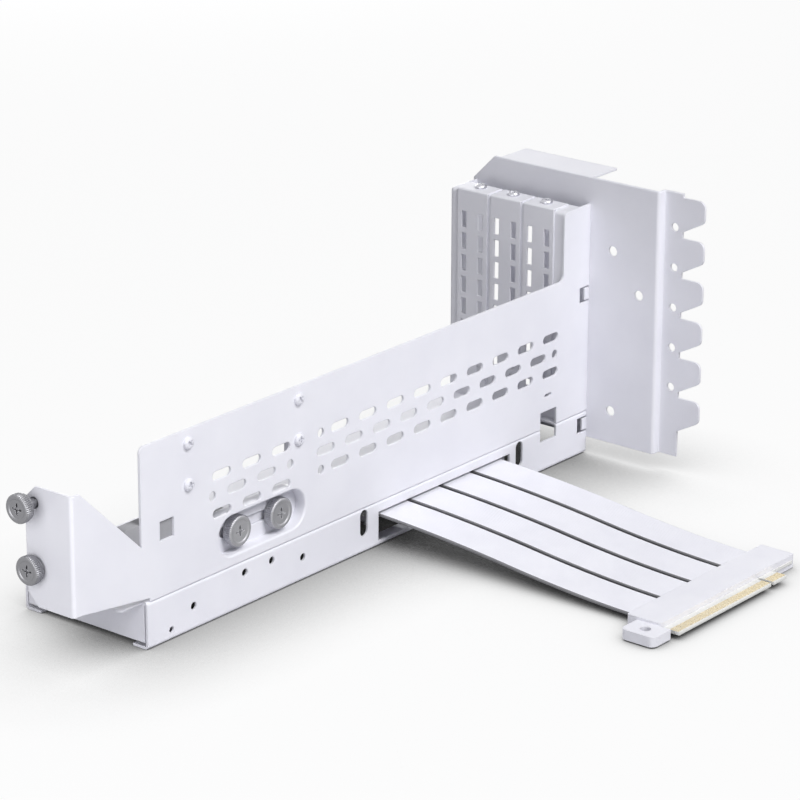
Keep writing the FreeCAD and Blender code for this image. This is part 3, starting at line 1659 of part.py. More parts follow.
for index in range(RIBBON_COUNT):
    name = "ribbon_%d" % (index + 1)
    strip = new_body(name)
    upper = [(y, z + half_thick) for y, z in route]
    lower = [(y, z - half_thick) for y, z in route]
    left = ribbon_left + s.ribbon_pitch * index
    edge = new_sketch(strip, name + "_edge", "YZ", left)
    bends = (s.route_bend_1, s.route_bend_2)
    upper_first, upper_last = add_route(edge, upper, bends)
    lower_first, lower_last = add_route(edge, lower, bends)
    for a, b, point, ends in (
        (upper_first, lower_first, START, (upper[0], lower[0])),
        (upper_last, lower_last, END, (upper[-1], lower[-1])),
    ):
        cap = edge.addGeometry(Part.LineSegment(flat(*ends[0]), flat(*ends[1])), False)
        edge.addConstraint(Sketcher.Constraint("Coincident", cap, START, a, point))
        edge.addConstraint(Sketcher.Constraint("Coincident", cap, END, b, point))
    pad(strip, name + "_strip", edge, s.ribbon_wide)
for before, here, after, bend in (
    (route[0], route[1], route[2], s.route_bend_1),
    (route[1], route[2], route[3], s.route_bend_2),
):
    first = math.hypot(here[0].number - before[0].number, here[1].number - before[1].number)
    second = math.hypot(after[0].number - here[0].number, after[1].number - here[1].number)
    print("ribbon runs %.1f and %.1f, bend radius %.1f" % (first, second, bend.number))

# Plug: edge board with gold fingers between two half covers, and a pull tab

plug_top = s.plug_low + s.ribbon_thick
plug = new_body("plug_board")
plug_outline = [
    (plug_left, -plug_near),
    (plug_left, -plug_shoulder),
    (plug_tongue_left, -plug_shoulder),
    (plug_tongue_left, -plug_edge),
    (plug_key_left, -plug_edge),
    (plug_key_left, -plug_shoulder),
    (plug_key_right, -plug_shoulder),
    (plug_key_right, -plug_edge),
    (plug_tongue_right, -plug_edge),
    (plug_tongue_right, -plug_shoulder),
    (plug_right, -plug_shoulder),
    (plug_right, -plug_near),
]
plate(plug, "plug_slab", "XY", s.plug_low, plug_outline, s.ribbon_thick)
fingers = []
finger_starts = []
for start, end, count in (
    (plug_tongue_left, plug_key_left, LONG_FINGERS),
    (plug_key_right, plug_tongue_right, SHORT_FINGERS),
):
    pitch = (end - start).share(count)
    for index in range(count):
        finger_starts.append(start + pitch * index + (pitch - s.finger_wide).half())
finger_far = -(plug_edge - s.finger_edge)
finger_size = (s.finger_wide, s.finger_long, s.finger_thick)
for index, start in enumerate(finger_starts):
    for label, low in (("top", plug_top), ("bottom", s.plug_low - s.finger_thick)):
        name = "finger_%s_%d" % (label, index + 1)
        fingers.append(block(name, (start, finger_far, low), finger_size))
group("plug_contacts", fingers)
cover_left = plug_left - s.plug_cover_side
cover_right = plug_right + s.plug_cover_side
cover_plan = [
    (cover_left, -plug_cover_out),
    (cover_right, -plug_cover_out),
    (cover_right, -plug_cover_mouth),
    (cover_left, -plug_cover_mouth),
]
bottom = new_body("plug_cover_bottom")
plate(bottom, "lower_half", "XY", ZERO, cover_plan, s.plug_low)
round_edges(bottom, "lower_corners", s.plug_cover_round, 2, cover_plan)
top = new_body("plug_cover_top")
plate(top, "upper_half", "XY", plug_top, cover_plan, s.plug_cover_thick)
for label, left, right in (
    ("left", cover_left, plug_left),
    ("right", plug_right, cover_right),
):
    cheek = [
        (left, -plug_cover_out),
        (right, -plug_cover_out),
        (right, -plug_cover_mouth),
        (left, -plug_cover_mouth),
    ]
    plate(top, "cheek_" + label, "XY", s.plug_low, cheek, s.ribbon_thick)
round_edges(top, "upper_corners", s.plug_cover_round, 2, cover_plan)
pull = new_body("plug_tab")
pull_left = cover_left - s.pull_reach
pull_plan = [
    (pull_left, -pull_far),
    (cover_left, -pull_far),
    (cover_left, -pull_near),
    (pull_left, -pull_near),
]
plate(pull, "pull_plate", "XY", s.pull_low, pull_plan, s.pull_tall)
round_edges(
    pull,
    "pull_corners",
    s.corner_round,
    2,
    [(pull_left, -pull_far), (pull_left, -pull_near)],
)
eye = new_sketch(pull, "pull_eye", "XY", s.pull_low)
pull_middle = -(pull_near + pull_far).half()
add_round(eye, cover_left - s.pull_reach.half(), pull_middle, s.pull_hole, ROUND_SIDES)
cut(pull, "pull_eye_cut", eye, s.pull_tall)

# Checks and the finished files

doc.recompute()
broken = [item.Name for item in doc.Objects if {"Invalid", "Error"} & set(item.State)]
if broken:
    raise RuntimeError("did not build: " + ", ".join(broken))
os.makedirs("parts", exist_ok=True)
for name, item in nodes.items():
    shape = item.Shape
    if shape.isNull() or not shape.isValid():
        raise RuntimeError("%s has no valid shape" % name)
    shape.exportStep("parts/%s.step" % name)
    print("%s %d solids %.0f mm3" % (name, len(shape.Solids), shape.Volume))
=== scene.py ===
import json
import math

import bmesh
import bpy
from mathutils import Matrix, Vector


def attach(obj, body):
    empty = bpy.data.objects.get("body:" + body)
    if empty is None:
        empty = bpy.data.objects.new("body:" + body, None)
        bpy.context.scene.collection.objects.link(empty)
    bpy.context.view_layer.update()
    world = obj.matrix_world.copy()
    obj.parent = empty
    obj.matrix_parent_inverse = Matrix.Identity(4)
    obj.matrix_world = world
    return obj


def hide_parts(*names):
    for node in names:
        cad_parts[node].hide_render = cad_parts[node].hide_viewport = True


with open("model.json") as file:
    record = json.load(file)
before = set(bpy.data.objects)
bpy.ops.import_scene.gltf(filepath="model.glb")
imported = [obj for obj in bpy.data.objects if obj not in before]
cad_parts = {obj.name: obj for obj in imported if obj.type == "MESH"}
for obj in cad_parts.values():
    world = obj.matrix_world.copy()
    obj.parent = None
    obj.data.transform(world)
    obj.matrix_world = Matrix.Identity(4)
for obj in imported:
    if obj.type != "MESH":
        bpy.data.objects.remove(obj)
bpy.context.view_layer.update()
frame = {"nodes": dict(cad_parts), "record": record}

# The scene is in metres, in the frame of the CAD model. The pieces are written as in the CAD
# source, in millimetres before its shift of the origin. Camera clip, materials, floor and lamps
# are in metres.
SHIFT = Vector((-142.8, -5.2, 0.0))
MM = 0.001


def at(x, y, z):
    """A point of the CAD source's sketch frame, in metres in the row frame."""
    return (Vector((x, y, z)) + SHIFT) * MM


# Camera: the photograph's viewing angle, worked out for a square frame

CAMERA_TURN = math.radians(50.9645)
CAMERA_DROP = math.radians(19.6419)
CAMERA_ROLL = math.radians(0.186)
CAMERA_EYE = at(-1058.449, -998.494, 633.802)
CAMERA_LENS = 163.661
CAMERA_SENSOR = 36.0
CAMERA_CLIP = (0.05, 50.0)


def add_camera():
    forward = Vector((
        math.sin(CAMERA_TURN) * math.cos(CAMERA_DROP),
        math.cos(CAMERA_TURN) * math.cos(CAMERA_DROP),
        -math.sin(CAMERA_DROP),
    ))
    right = Vector((math.cos(CAMERA_TURN), -math.sin(CAMERA_TURN), 0.0))
    up = right.cross(forward)
    right, up = (
        right * math.cos(CAMERA_ROLL) + up * math.sin(CAMERA_ROLL),
        up * math.cos(CAMERA_ROLL) - right * math.sin(CAMERA_ROLL),
    )
    data = bpy.data.cameras.new("camera")
    data.sensor_fit = "HORIZONTAL"
    data.sensor_width = CAMERA_SENSOR
    data.lens = CAMERA_LENS
    data.clip_start, data.clip_end = CAMERA_CLIP
    camera = bpy.data.objects.new("camera", data)
    turn = Matrix((right, up, -forward)).transposed()
    camera.matrix_world = Matrix.Translation(CAMERA_EYE) @ turn.to_4x4()
    bpy.context.collection.objects.link(camera)
    bpy.context.scene.camera = camera


# Node helpers

NOISE_RANGE = (0.3, 0.7)
EDGE_RANGE = (0.98, 0.75)
EDGE_SAMPLES = 4
# A Mix node has sockets of the same name for each kind of value: these are its colours
MIX_FIRST = 6
MIX_SECOND = 7
MIX_RESULT = 2


def link(tree, source, target):
    tree.links.new(source, target)


def node(tree, kind, **values):
    """A new node, with its inputs and settings given by name."""
    made = tree.nodes.new(kind)
    for key, value in values.items():
        if key in made.inputs:
            made.inputs[key].default_value = value
        else:
            setattr(made, key, value)
    return made


def new_material(name):
    material = bpy.data.materials.new(name)
    material.use_nodes = True
    tree = material.node_tree
    tree.nodes.clear()
    output = tree.nodes.new("ShaderNodeOutputMaterial")
    shader = tree.nodes.new("ShaderNodeBsdfPrincipled")
    link(tree, shader.outputs[0], output.inputs[0])
    return material, tree, shader


def noise(tree, scale, detail, stretch=None):
    """Noise over the object's own space, in cycles per metre."""
    place = tree.nodes.new("ShaderNodeTexCoord")
    vector = place.outputs["Object"]
    if stretch:
        mapping = node(tree, "ShaderNodeMapping", Scale=stretch)
        link(tree, vector, mapping.inputs["Vector"])
        vector = mapping.outputs["Vector"]
    made = node(tree, "ShaderNodeTexNoise", Scale=scale, Detail=detail)
    link(tree, vector, made.inputs["Vector"])
    return made.outputs["Fac"]


def spread(tree, source, span, low, high):
    """Maps the span of a source to low and high, and holds it there outside the span."""
    made = tree.nodes.new("ShaderNodeMapRange")
    made.inputs["From Min"].default_value, made.inputs["From Max"].default_value = span
    made.inputs["To Min"].default_value = low
    made.inputs["To Max"].default_value = high
    link(tree, source, made.inputs["Value"])
    return made.outputs["Result"]


def blend_colour(tree, factor, first, second):
    """Mixes two colours, each a tuple or another node's output."""
    made = tree.nodes.new("ShaderNodeMix")
    made.data_type = "RGBA"
    link(tree, factor, made.inputs["Factor"])
    for value, socket in ((first, made.inputs[MIX_FIRST]), (second, made.inputs[MIX_SECOND])):
        if hasattr(value, "links"):
            link(tree, value, socket)
        else:
            socket.default_value = (*value, 1.0)
    return made.outputs[MIX_RESULT]


def edge_mask(tree, radius):
    """Near 1 along outer and inner edges and 0 on flat faces, with the rounded normal."""
    bevel = node(tree, "ShaderNodeBevel", samples=EDGE_SAMPLES, Radius=radius)
    place = tree.nodes.new("ShaderNodeNewGeometry")
    dot = node(tree, "ShaderNodeVectorMath", operation="DOT_PRODUCT")
    link(tree, bevel.outputs[0], dot.inputs[0])
    link(tree, place.outputs["Normal"], dot.inputs[1])
    return spread(tree, dot.outputs["Value"], EDGE_RANGE, 0.0, 1.0), bevel.outputs[0]


# Materials

COAT_MOTTLE = 38.0
COAT_GRAIN = 1500.0
COAT_EDGE = 0.0006
COAT_LIFT = 1.06
COAT_RELIEF = (0.18, 0.0002)
COAT_SPECULAR = 0.4
METAL_EDGE = 0.0003
METAL_RUB = 1.7
METAL_RELIEF = (0.12, 0.0001)
PLASTIC_PATCHES = 60.0
PLASTIC_EDGE = 0.0004
PLASTIC_LIFT = 1.1
PLASTIC_RUB = 0.01
PLASTIC_GRAIN = 900.0
PLASTIC_BUMP = 0.2
PLASTIC_DEPTH = 0.0001
SOFT_ROUGH = (-0.06, 0.08)
METAL_ROUGH = (-0.08, 0.1)
FINE_DETAIL = 3.0
MIDDLE_DETAIL = 4.0
BROAD_DETAIL = 5.0


def lifted(colour, factor, plus=0.0):
    """The colour of an edge that is rubbed or thinly coated."""
    return tuple(min(1.0, channel * factor + plus) for channel in colour)


def dress(tree, shader, patches, grain, colours, edge, rough_range, relief):
    """Two mixed tones with lighter edges, and a grain that drives roughness and relief."""
    tone, shade, edge_tone = colours
    worn, soft_normal = edge_mask(tree, edge)
    body = blend_colour(tree, spread(tree, patches, NOISE_RANGE, 0.0, 1.0), shade, tone)
    link(tree, blend_colour(tree, worn, body, edge_tone), shader.inputs["Base Color"])
    link(tree, spread(tree, grain, NOISE_RANGE, *rough_range), shader.inputs["Roughness"])
    strength, distance = relief
    bump = node(tree, "ShaderNodeBump", Strength=strength, Distance=distance)
    link(tree, grain, bump.inputs["Height"])
    link(tree, soft_normal, bump.inputs["Normal"])
    link(tree, bump.outputs[0], shader.inputs["Normal"])


def powder_coat(name, colour, shade, rough):
    """Textured powder coat: fine orange peel, faint mottling, thinner at edges."""
    material, tree, shader = new_material(name)
    dress(
        tree,
        shader,
        patches=noise(tree, COAT_MOTTLE, BROAD_DETAIL),
        grain=noise(tree, COAT_GRAIN, FINE_DETAIL),
        colours=(colour, shade, lifted(colour, COAT_LIFT)),
        edge=COAT_EDGE,
        rough_range=[rough + change for change in SOFT_ROUGH],
        relief=COAT_RELIEF,
    )
    shader.inputs["Specular IOR Level"].default_value = COAT_SPECULAR
    return material


def metal(name, colour, shade, rough, stretch, scale, rub=METAL_RUB, edge=METAL_EDGE):
    """Plated metal with fine turning marks and edges rubbed brighter."""
    material, tree, shader = new_material(name)
    marks = noise(tree, scale, MIDDLE_DETAIL, stretch)
    dress(
        tree,
        shader,
        patches=marks,
        grain=marks,
        colours=(colour, shade, lifted(colour, rub)),
        edge=edge,
        rough_range=[rough + change for change in METAL_ROUGH],
        relief=METAL_RELIEF,
    )
    shader.inputs["Metallic"].default_value = 1.0
    return material


def plastic(name, colour, shade, rough, grain_scale=PLASTIC_GRAIN, depth=PLASTIC_DEPTH):
    """Moulded plastic or rubber with a fine spark-eroded grain."""
    material, tree, shader = new_material(name)
    dress(
        tree,
        shader,
        patches=noise(tree, PLASTIC_PATCHES, MIDDLE_DETAIL),
        grain=noise(tree, grain_scale, FINE_DETAIL),
        colours=(colour, shade, lifted(colour, PLASTIC_LIFT, PLASTIC_RUB)),
        edge=PLASTIC_EDGE,
        rough_range=[rough + change for change in SOFT_ROUGH],
        relief=(PLASTIC_BUMP, depth),
    )
    return material


ALONG_X = (1.0, 6.0, 6.0)
ALONG_Y = (6.0, 1.0, 6.0)

COAT = powder_coat("white_coat", (0.83, 0.83, 0.885), (0.79, 0.79, 0.85), 0.42)
SCREW = metal("plated_screw", (0.62, 0.62, 0.66), (0.5, 0.5, 0.54), 0.32, None, 700.0)
DARK = metal("dark_steel", (0.3, 0.3, 0.315), (0.23, 0.23, 0.245), 0.42, ALONG_X, 500.0)
REST_STEEL = metal("rest_steel", (0.47, 0.47, 0.49), (0.38, 0.38, 0.4), 0.42, ALONG_Y, 500.0)
PAINTED_SCREW = powder_coat("white_screw", (0.78, 0.78, 0.84), (0.72, 0.72, 0.78), 0.45)
PALE_RUBBER = plastic("pale_rubber", (0.70, 0.70, 0.75), (0.64, 0.64, 0.70), 0.75, 1400.0, 0.0002)
WHITE = plastic("white_plastic", (0.82, 0.82, 0.87), (0.78, 0.78, 0.84), 0.45)
BLACK = plastic("black_plastic", (0.03, 0.03, 0.033), (0.022, 0.022, 0.024), 0.5)
RUBBER = plastic("soft_rubber", (0.36, 0.36, 0.38), (0.31, 0.31, 0.33), 0.75, 1400.0, 0.0002)
BOARD = plastic("white_board", (0.78, 0.78, 0.76), (0.72, 0.72, 0.70), 0.35, 500.0, 0.00005)
GOLD = metal("gold_contact", (0.83, 0.70, 0.42), (0.76, 0.62, 0.36), 0.3, None, 900.0, 1.1, 0.00005)
JACKET = plastic("ribbon_jacket", (0.82, 0.82, 0.875), (0.78, 0.78, 0.84), 0.5, 1100.0)
# Dark band along each strip's sides: painted shade standing in for the shaded gaps between the
# strips
JACKET_PAINTED_SHADE = plastic("ribbon_edge", (0.2, 0.2, 0.21), (0.16, 0.16, 0.17), 0.6, 1100.0)

SLOT_MATERIALS = {
    "white_coat": COAT,
    "plated_screw": SCREW,
    "dark_steel": DARK,
    "white_screw": PAINTED_SCREW,
    "pale_rubber": PALE_RUBBER,
    "white_plastic": WHITE,
    "black_plastic": BLACK,
    "soft_rubber": RUBBER,
    "white_board": BOARD,
    "gold_contact": GOLD,
    "ribbon_jacket": JACKET,
}
NODE_SLOTS = {part["node"]: part["material_slot"] for part in frame["record"]["subparts"]}


def paint(thing, material):
    thing.data.materials.clear()
    thing.data.materials.append(material)


def paint_nodes():
    for name, slot in NODE_SLOTS.items():
        paint(frame["nodes"][name], SLOT_MATERIALS[slot])


# Pieces: what every new mesh goes through

def show_mesh(mesh, angle):
    """Adds a mesh to the scene, smooth apart from edges sharper than the angle in degrees."""
    mesh.polygons.foreach_set("use_smooth", [True] * len(mesh.polygons))
    mesh.set_sharp_from_angle(angle=math.radians(angle))
    mesh.update()
    thing = bpy.data.objects.new(mesh.name, mesh)
    bpy.context.collection.objects.link(thing)
    return thing


def skin(name, verts, faces, angle):
    mesh = bpy.data.meshes.new(name)
    mesh.from_pydata(verts, [], faces)
    mesh.validate()
    return show_mesh(mesh, angle)


def stand_in(thing, node_name, body):
    """Shows the piece in place of a CAD node, in that node's own material."""
    slot = NODE_SLOTS[node_name]
    paint(thing, SLOT_MATERIALS[slot])
    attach(thing, body)
    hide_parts(node_name)


# Ribbon strips: ribbed flat cable along a smooth line that the route's points lead

ROUTE = ((12.0, 15.0), (-30.0, 13.8), (-118.0, 3.2), (-154.0, 3.2))
ROUTE_STEPS = 24
ROUTE_ORDER = 3
RIBBON_MIDDLE = 206.0
RIBBON_PITCH = 24.0
RIBBON_WIDE = 22.0
RIBBON_THICK = 1.6
RIBBON_COUNT = 4
RIBS = 18
RIB_STEPS = 6
RIB_DEEP = 0.14
SIDE_LEFT = 0.2
# Width in millimetres of the dark band of painted shade along each side of a strip
PAINTED_SHADE_BAND = 0.7
ACROSS = Vector((1.0, 0.0, 0.0))


def route_points(x):
    """Points of the smooth line, a spline with the route's points as its controls."""
    curve = bpy.data.curves.new("route", "CURVE")
    curve.dimensions = "3D"
    curve.resolution_u = ROUTE_STEPS
    spline = curve.splines.new("NURBS")
    spline.points.add(len(ROUTE) - 1)
    for point, (y, z) in zip(spline.points, ROUTE):
        point.co = (*at(x, y, z), 1.0)
    spline.order_u = ROUTE_ORDER
    spline.use_endpoint_u = True
    holder = bpy.data.objects.new("route", curve)
    mesh = bpy.data.meshes.new_from_object(holder)
    points = [vertex.co.copy() for vertex in mesh.vertices]
    bpy.data.objects.remove(holder)
    bpy.data.curves.remove(curve)
    bpy.data.meshes.remove(mesh)
    return points


def strip_section():
    """Cross-section of one strip: fine ribs above and below, rounded sides."""
    half = RIBBON_WIDE / 2
    thick = RIBBON_THICK / 2
    count = RIBS * RIB_STEPS
    top = []
    for i in range(count + 1):
        u = -half + RIBBON_WIDE * i / count
        rib = abs(math.sin(math.pi * RIBS * i / count))
        height = thick - RIB_DEEP + RIB_DEEP * rib
        side = min(1.0, max(0.0, abs(u) - (half - thick)) / thick)
        height *= math.sqrt(1.0 - side ** 2) * (1.0 - SIDE_LEFT) + SIDE_LEFT
        top.append((u, height))
    bottom = [(u, -v) for u, v in reversed(top)]
    return top + bottom


def strip_mesh(name, path):
    """The section, carried along the path and closed at both ends."""
    section = strip_section()
    verts = []
    for i, here in enumerate(path):
        before = path[max(0, i - 1)]
        after = path[min(len(path) - 1, i + 1)]
        along = (after - before).normalized()
        up = ACROSS.cross(along).normalized()
        if up.z < 0:
            up = -up
        for u, v in section:
            verts.append(here + ACROSS * (u * MM) + up * (v * MM))
    size = len(section)
    faces = []
    for i in range(len(path) - 1):
        for k in range(size):
            a = i * size + k
            b = i * size + (k + 1) % size
            faces.append((a, a + size, b + size, b))
    faces.append(tuple(range(size)))
    last = (len(path) - 1) * size
    faces.append(tuple(range(last + size - 1, last - 1, -1)))
    mesh = bpy.data.meshes.new(name)
    mesh.from_pydata(verts, [], faces)
    mesh.polygons.foreach_set("use_smooth", [True] * len(mesh.polygons))
    mesh.update()
    return mesh


def add_strip(index):
    x = RIBBON_MIDDLE + RIBBON_PITCH * (index - (RIBBON_COUNT - 1) / 2)
    path = route_points(x)
    mesh = strip_mesh("ribbon_strip_%d" % (index + 1), path)
    thing = bpy.data.objects.new(mesh.name, mesh)
    bpy.context.collection.objects.link(thing)
    paint(thing, JACKET)
    mesh.materials.append(JACKET_PAINTED_SHADE)
    # The outer faces along each side of the strip get the dark material: painted shade for the gaps
    # between strips
    shade_from = (RIBBON_WIDE / 2 - PAINTED_SHADE_BAND) * MM
    for face in mesh.polygons:
        face.material_index = int(abs(face.center.x - path[0].x) > shade_from)
    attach(thing, "bracket")
    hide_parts("ribbon_%d" % (index + 1))


# Turned pieces: rings of points about an axis, cross recesses and threads

def add_rings(verts, faces, rings, matrix):
    """Joins rings of equal count into a skin, closed at both ends by a flat face."""
    start = len(verts)
    steps = len(rings[0])
    for ring in rings:
        verts.extend(matrix @ Vector(point) for point in ring)
    for i in range(len(rings) - 1):
        for k in range(steps):
            a = start + i * steps + k
            b = start + i * steps + (k + 1) % steps
            faces.append((a, a + steps, b + steps, b))
    for row, turn in ((0, 1), (len(rings) - 1, -1)):
        first = start + row * steps
        faces.append(tuple(range(first, first + steps))[::turn])


def ring_at(radius, height, steps):
    """Ring about Z; radius and height are numbers or functions of the angle."""
    points = []
    for k in range(steps):
        angle = 2 * math.pi * k / steps
        r = radius(angle) if callable(radius) else radius
        z = height(angle) if callable(height) else height
        points.append((r * math.cos(angle), r * math.sin(angle), z))
    return points


ARM_ROOT = 1.15
ARM_TAPER = 0.5
RECESS_RISE = 0.6


def cross_depth(x, y, reach, half, deep):
    """Depth of a cross recess with tapered arms at a point of the head's face."""
    depth = 0.0
    for along, across in ((abs(x), abs(y)), (abs(y), abs(x))):
        if along < reach and across < half * (ARM_ROOT - ARM_TAPER * along / reach):
            depth = max(depth, deep * (1.0 - RECESS_RISE * along / reach))
    return depth


def face_rings(level, radius, count, recess, steps):
    """Rings of a head's face, from its middle outward, with the cross recess sunk in."""
    rings = []
    for i in range(1, count + 1):
        r = radius * i / count

        def face(angle, r=r):
            return level(r) - cross_depth(r * math.cos(angle), r * math.sin(angle), *recess)

        rings.append(ring_at(r, face, steps))
    return rings


THREAD_STEPS = 28
RINGS_PER_TURN = 6
THREAD_START = 4
THREAD_END = 3
THREAD_CHAMFER = 0.25


def thread_rings(radius, top, length, pitch, deep):
    """Threaded shank downward from its top, with a short chamfered end."""
    rings = []
    count = max(2, int(length / pitch * RINGS_PER_TURN))
    for i in range(count + 1):
        z = top - length * i / count
        ending = (1.0 - i / count) * count / THREAD_END
        fade = min(1.0, i / THREAD_START, ending)

        def groove(angle, z=z, fade=fade, ending=ending):
            phase = (z / pitch + angle / (2 * math.pi)) % 1.0
            chamfer = THREAD_CHAMFER * max(0.0, 1 - ending)
            return radius - deep * fade * abs(2 * phase - 1) - chamfer

        rings.append(ring_at(groove, z, THREAD_STEPS))
    return rings


# Small screws: domed head with a cross recess, threaded shank

HEAD_STEPS = 72
HEAD_FACE = 1.8
HEAD_FACE_RINGS = 15
HEAD_TOP = 1.9
HEAD_DOME = 0.03
# Reach and half width of an arm, and depth
HEAD_RECESS = (1.65, 0.42, 1.1)
# Radius and height of each ring from the face to the seat
HEAD_PROFILE = (
    (1.85, 1.78), (2.15, 1.68), (2.45, 1.5), (2.68, 1.24), (2.83, 0.9),
    (2.9, 0.5), (2.88, 0.18), (2.8, 0.0), (1.45, 0.0),
)
SHANK_RADIUS = 1.45
SHANK_TOP = 0.05
# Pitch and depth
SHANK_THREAD = (0.7, 0.28)
SCREW_TURN = 37.0
SCREW_FIRST_TURN = 12.0
SCREW_SMOOTH = 40.0
SCREW_LONG = 6.0
SCREW_SHORT = 3.2
HEAD_UP = 0.0
HEAD_DOWN = 180.0
HEAD_TO_CARD = -90.0
HEAD_TO_FRONT = 90.0
CARD_PITCH = 20.32
COVER_COUNT = 3
COVER_FIRST = 15.8
FOOT_PLACES = ((20.0, 6.2), (126.0, 6.2), (272.0, 6.2), (306.0, 20.0), (306.0, 52.0))
FOOT_TOP = 23.5
COVER_PLACES = [(305.5, COVER_FIRST + CARD_PITCH * k) for k in range(COVER_COUNT)]
COVER_TOP = 129.8
REAR_HEIGHTS = (49.0, 105.0)
BUMPER_PLACES = ((27.6, 69.2), (27.6, 88.4), (101.0, 69.2), (101.0, 88.4))
BOARD_PLACES = ((156.5, 25.5), (256.3, 25.5), (256.3, 13.0))
BOARD_UNDER = 16.0
CLAMP_PLACES = ((155.7, 6.0), (256.3, 6.0))
CLAMP_UNDER = 12.0
# Each row: node, turn of the head about X in degrees, length of the shank, places of the seats
SCREW_SETS = (
    ("foot_screws", HEAD_UP, SCREW_LONG, [(x, y, FOOT_TOP) for x, y in FOOT_PLACES]),
    ("slot_cover_screws", HEAD_UP, SCREW_LONG, [(x, y, COVER_TOP) for x, y in COVER_PLACES]),
    ("rear_screws", HEAD_TO_CARD, SCREW_LONG, [(314.0, 72.2, z) for z in REAR_HEIGHTS]),
    ("bumper_screws", HEAD_TO_FRONT, SCREW_SHORT, [(x, 0.0, z) for x, z in BUMPER_PLACES]),
    ("board_screws", HEAD_DOWN, SCREW_LONG, [(x, y, BOARD_UNDER) for x, y in BOARD_PLACES]),
    ("clamp_screws", HEAD_DOWN, SCREW_LONG, [(x, y, CLAMP_UNDER) for x, y in CLAMP_PLACES]),
)


def dome(r):
    return HEAD_TOP - HEAD_DOME * r * r


def screw_head():
    rings = face_rings(dome, HEAD_FACE, HEAD_FACE_RINGS, HEAD_RECESS, HEAD_STEPS)
    rings.extend(ring_at(r, z, HEAD_STEPS) for r, z in HEAD_PROFILE)
    return rings


def add_screws():
    for name, aim, length, places in SCREW_SETS:
        verts = []
        faces = []
        for index, place in enumerate(places):
            turn = SCREW_TURN * index + SCREW_FIRST_TURN
            matrix = (
                Matrix.Translation(at(*place))
                @ Matrix.Rotation(math.radians(aim), 4, "X")
                @ Matrix.Rotation(math.radians(turn), 4, "Z")
                @ Matrix.Scale(MM, 4)
            )
            add_rings(verts, faces, screw_head(), matrix)
            shank = thread_rings(SHANK_RADIUS, SHANK_TOP, length, *SHANK_THREAD)
            add_rings(verts, faces, shank, matrix)
        stand_in(skin("fine_" + name, verts, faces, SCREW_SMOOTH), name, "bracket")


# Knurled screws: thumbscrews of the front flange and the two screws of the card rest

KNURLS = 44
KNURL_STEPS = 6
KNURL_DEEP = 0.42
KNURL_SHAPE = 1.4
KNOB_FACE = 2.9
KNOB_FACE_RINGS = 19
KNOB_SINK = 0.35
KNOB_RECESS = (2.6, 0.6, 1.5)
KNOB_FACE_END = 3.0
KNOB_FOOT = 2.0
# Each row: in from the radius, share of the flutes, share of the height and drop below that
KNOB_LINE = (
    (2.4, 0.0, 1.0, KNOB_SINK),
    (2.0, 0.0, 1.0, 0.05),
    (1.9, 0.0, 1.0, 0.0),
    (0.75, 0.0, 1.0, 0.0),
    (0.3, 0.3, 1.0, 0.25),
    (0.0, 1.0, 1.0, 0.7),
    (0.0, 1.0, 0.34, 0.0),
    (0.2, 0.4, 0.28, 0.0),
    (0.55, 0.0, 0.22, 0.0),
    (0.55, 0.0, 0.08, 0.0),
    (0.9, 0.0, 0.0, 0.0),
)
KNOB_SMOOTH = 35.0
NECK_SHARE = 0.35
NECK_LAP = 0.1
KNOB_THREAD = (0.8, 0.32)
FACES_FRONT = Matrix.Rotation(math.radians(-90.0), 4, "Y")
FACES_SIDE = Matrix.Rotation(math.radians(90.0), 4, "X")
# Radius and height of the head, radius and length of the shank
THUMBSCREW = (6.6, 5.0, 2.2, 16.0)
REST_SCREW = (7.4, 5.1, 2.0, 14.0)
KNOBS = (
    ("thumbscrew_upper", "upper_screw", (-55.6, 21.8, 77.0), FACES_FRONT, THUMBSCREW),
    ("thumbscrew_lower", "lower_screw", (-51.0, 21.8, 47.5), FACES_FRONT, THUMBSCREW),
    ("rest_screw_1", "card_rest", (62.0, 0.6, 36.5), FACES_SIDE, REST_SCREW),
    ("rest_screw_2", "card_rest", (90.0, 0.6, 36.5), FACES_SIDE, REST_SCREW),
)


def knurled(out, share):
    """Radius of a ring whose flutes have a share of their full depth."""
    def ridge(angle):
        phase = (angle / (2 * math.pi) * KNURLS) % 1.0
        return out - KNURL_DEEP * share * abs(2 * phase - 1) ** KNURL_SHAPE
    return ridge


def knob_rings(radius, high):
    """Head with straight knurling between two chamfers and a turned, sunken face."""
    steps = KNURLS * KNURL_STEPS
    floor = high - KNOB_SINK
    rings = face_rings(lambda r: floor, KNOB_FACE, KNOB_FACE_RINGS, KNOB_RECESS, steps)
    rings.append(ring_at(KNOB_FACE_END, floor, steps))
    for inset, flutes, share, drop in KNOB_LINE:
        rings.append(ring_at(knurled(radius - inset, flutes), high * share - drop, steps))
    rings.append(ring_at(KNOB_FOOT, 0.0, steps))
    return rings


def add_knobs():
    for name, body, place, aim, (radius, high, neck, length) in KNOBS:
        seat = Matrix.Translation((0, 0, -high * MM)) @ Matrix.Scale(MM, 4)
        matrix = Matrix.Translation(at(*place)) @ aim @ seat
        plain = length * NECK_SHARE
        collar = [ring_at(neck, z, THREAD_STEPS) for z in (NECK_LAP, -plain)]
        thread = thread_rings(neck, NECK_LAP - plain, length - plain + NECK_LAP, *KNOB_THREAD)
        verts = []
        faces = []
        for rings in (knob_rings(radius, high), collar, thread):
            add_rings(verts, faces, rings, matrix)
        knob = skin("fine_" + name, verts, faces, KNOB_SMOOTH)
        stand_in(knob, name, body)
        if body == "card_rest":
            paint(knob, REST_STEEL)


# Plug: edge board with a bevelled tongue and its two rows of gold contacts

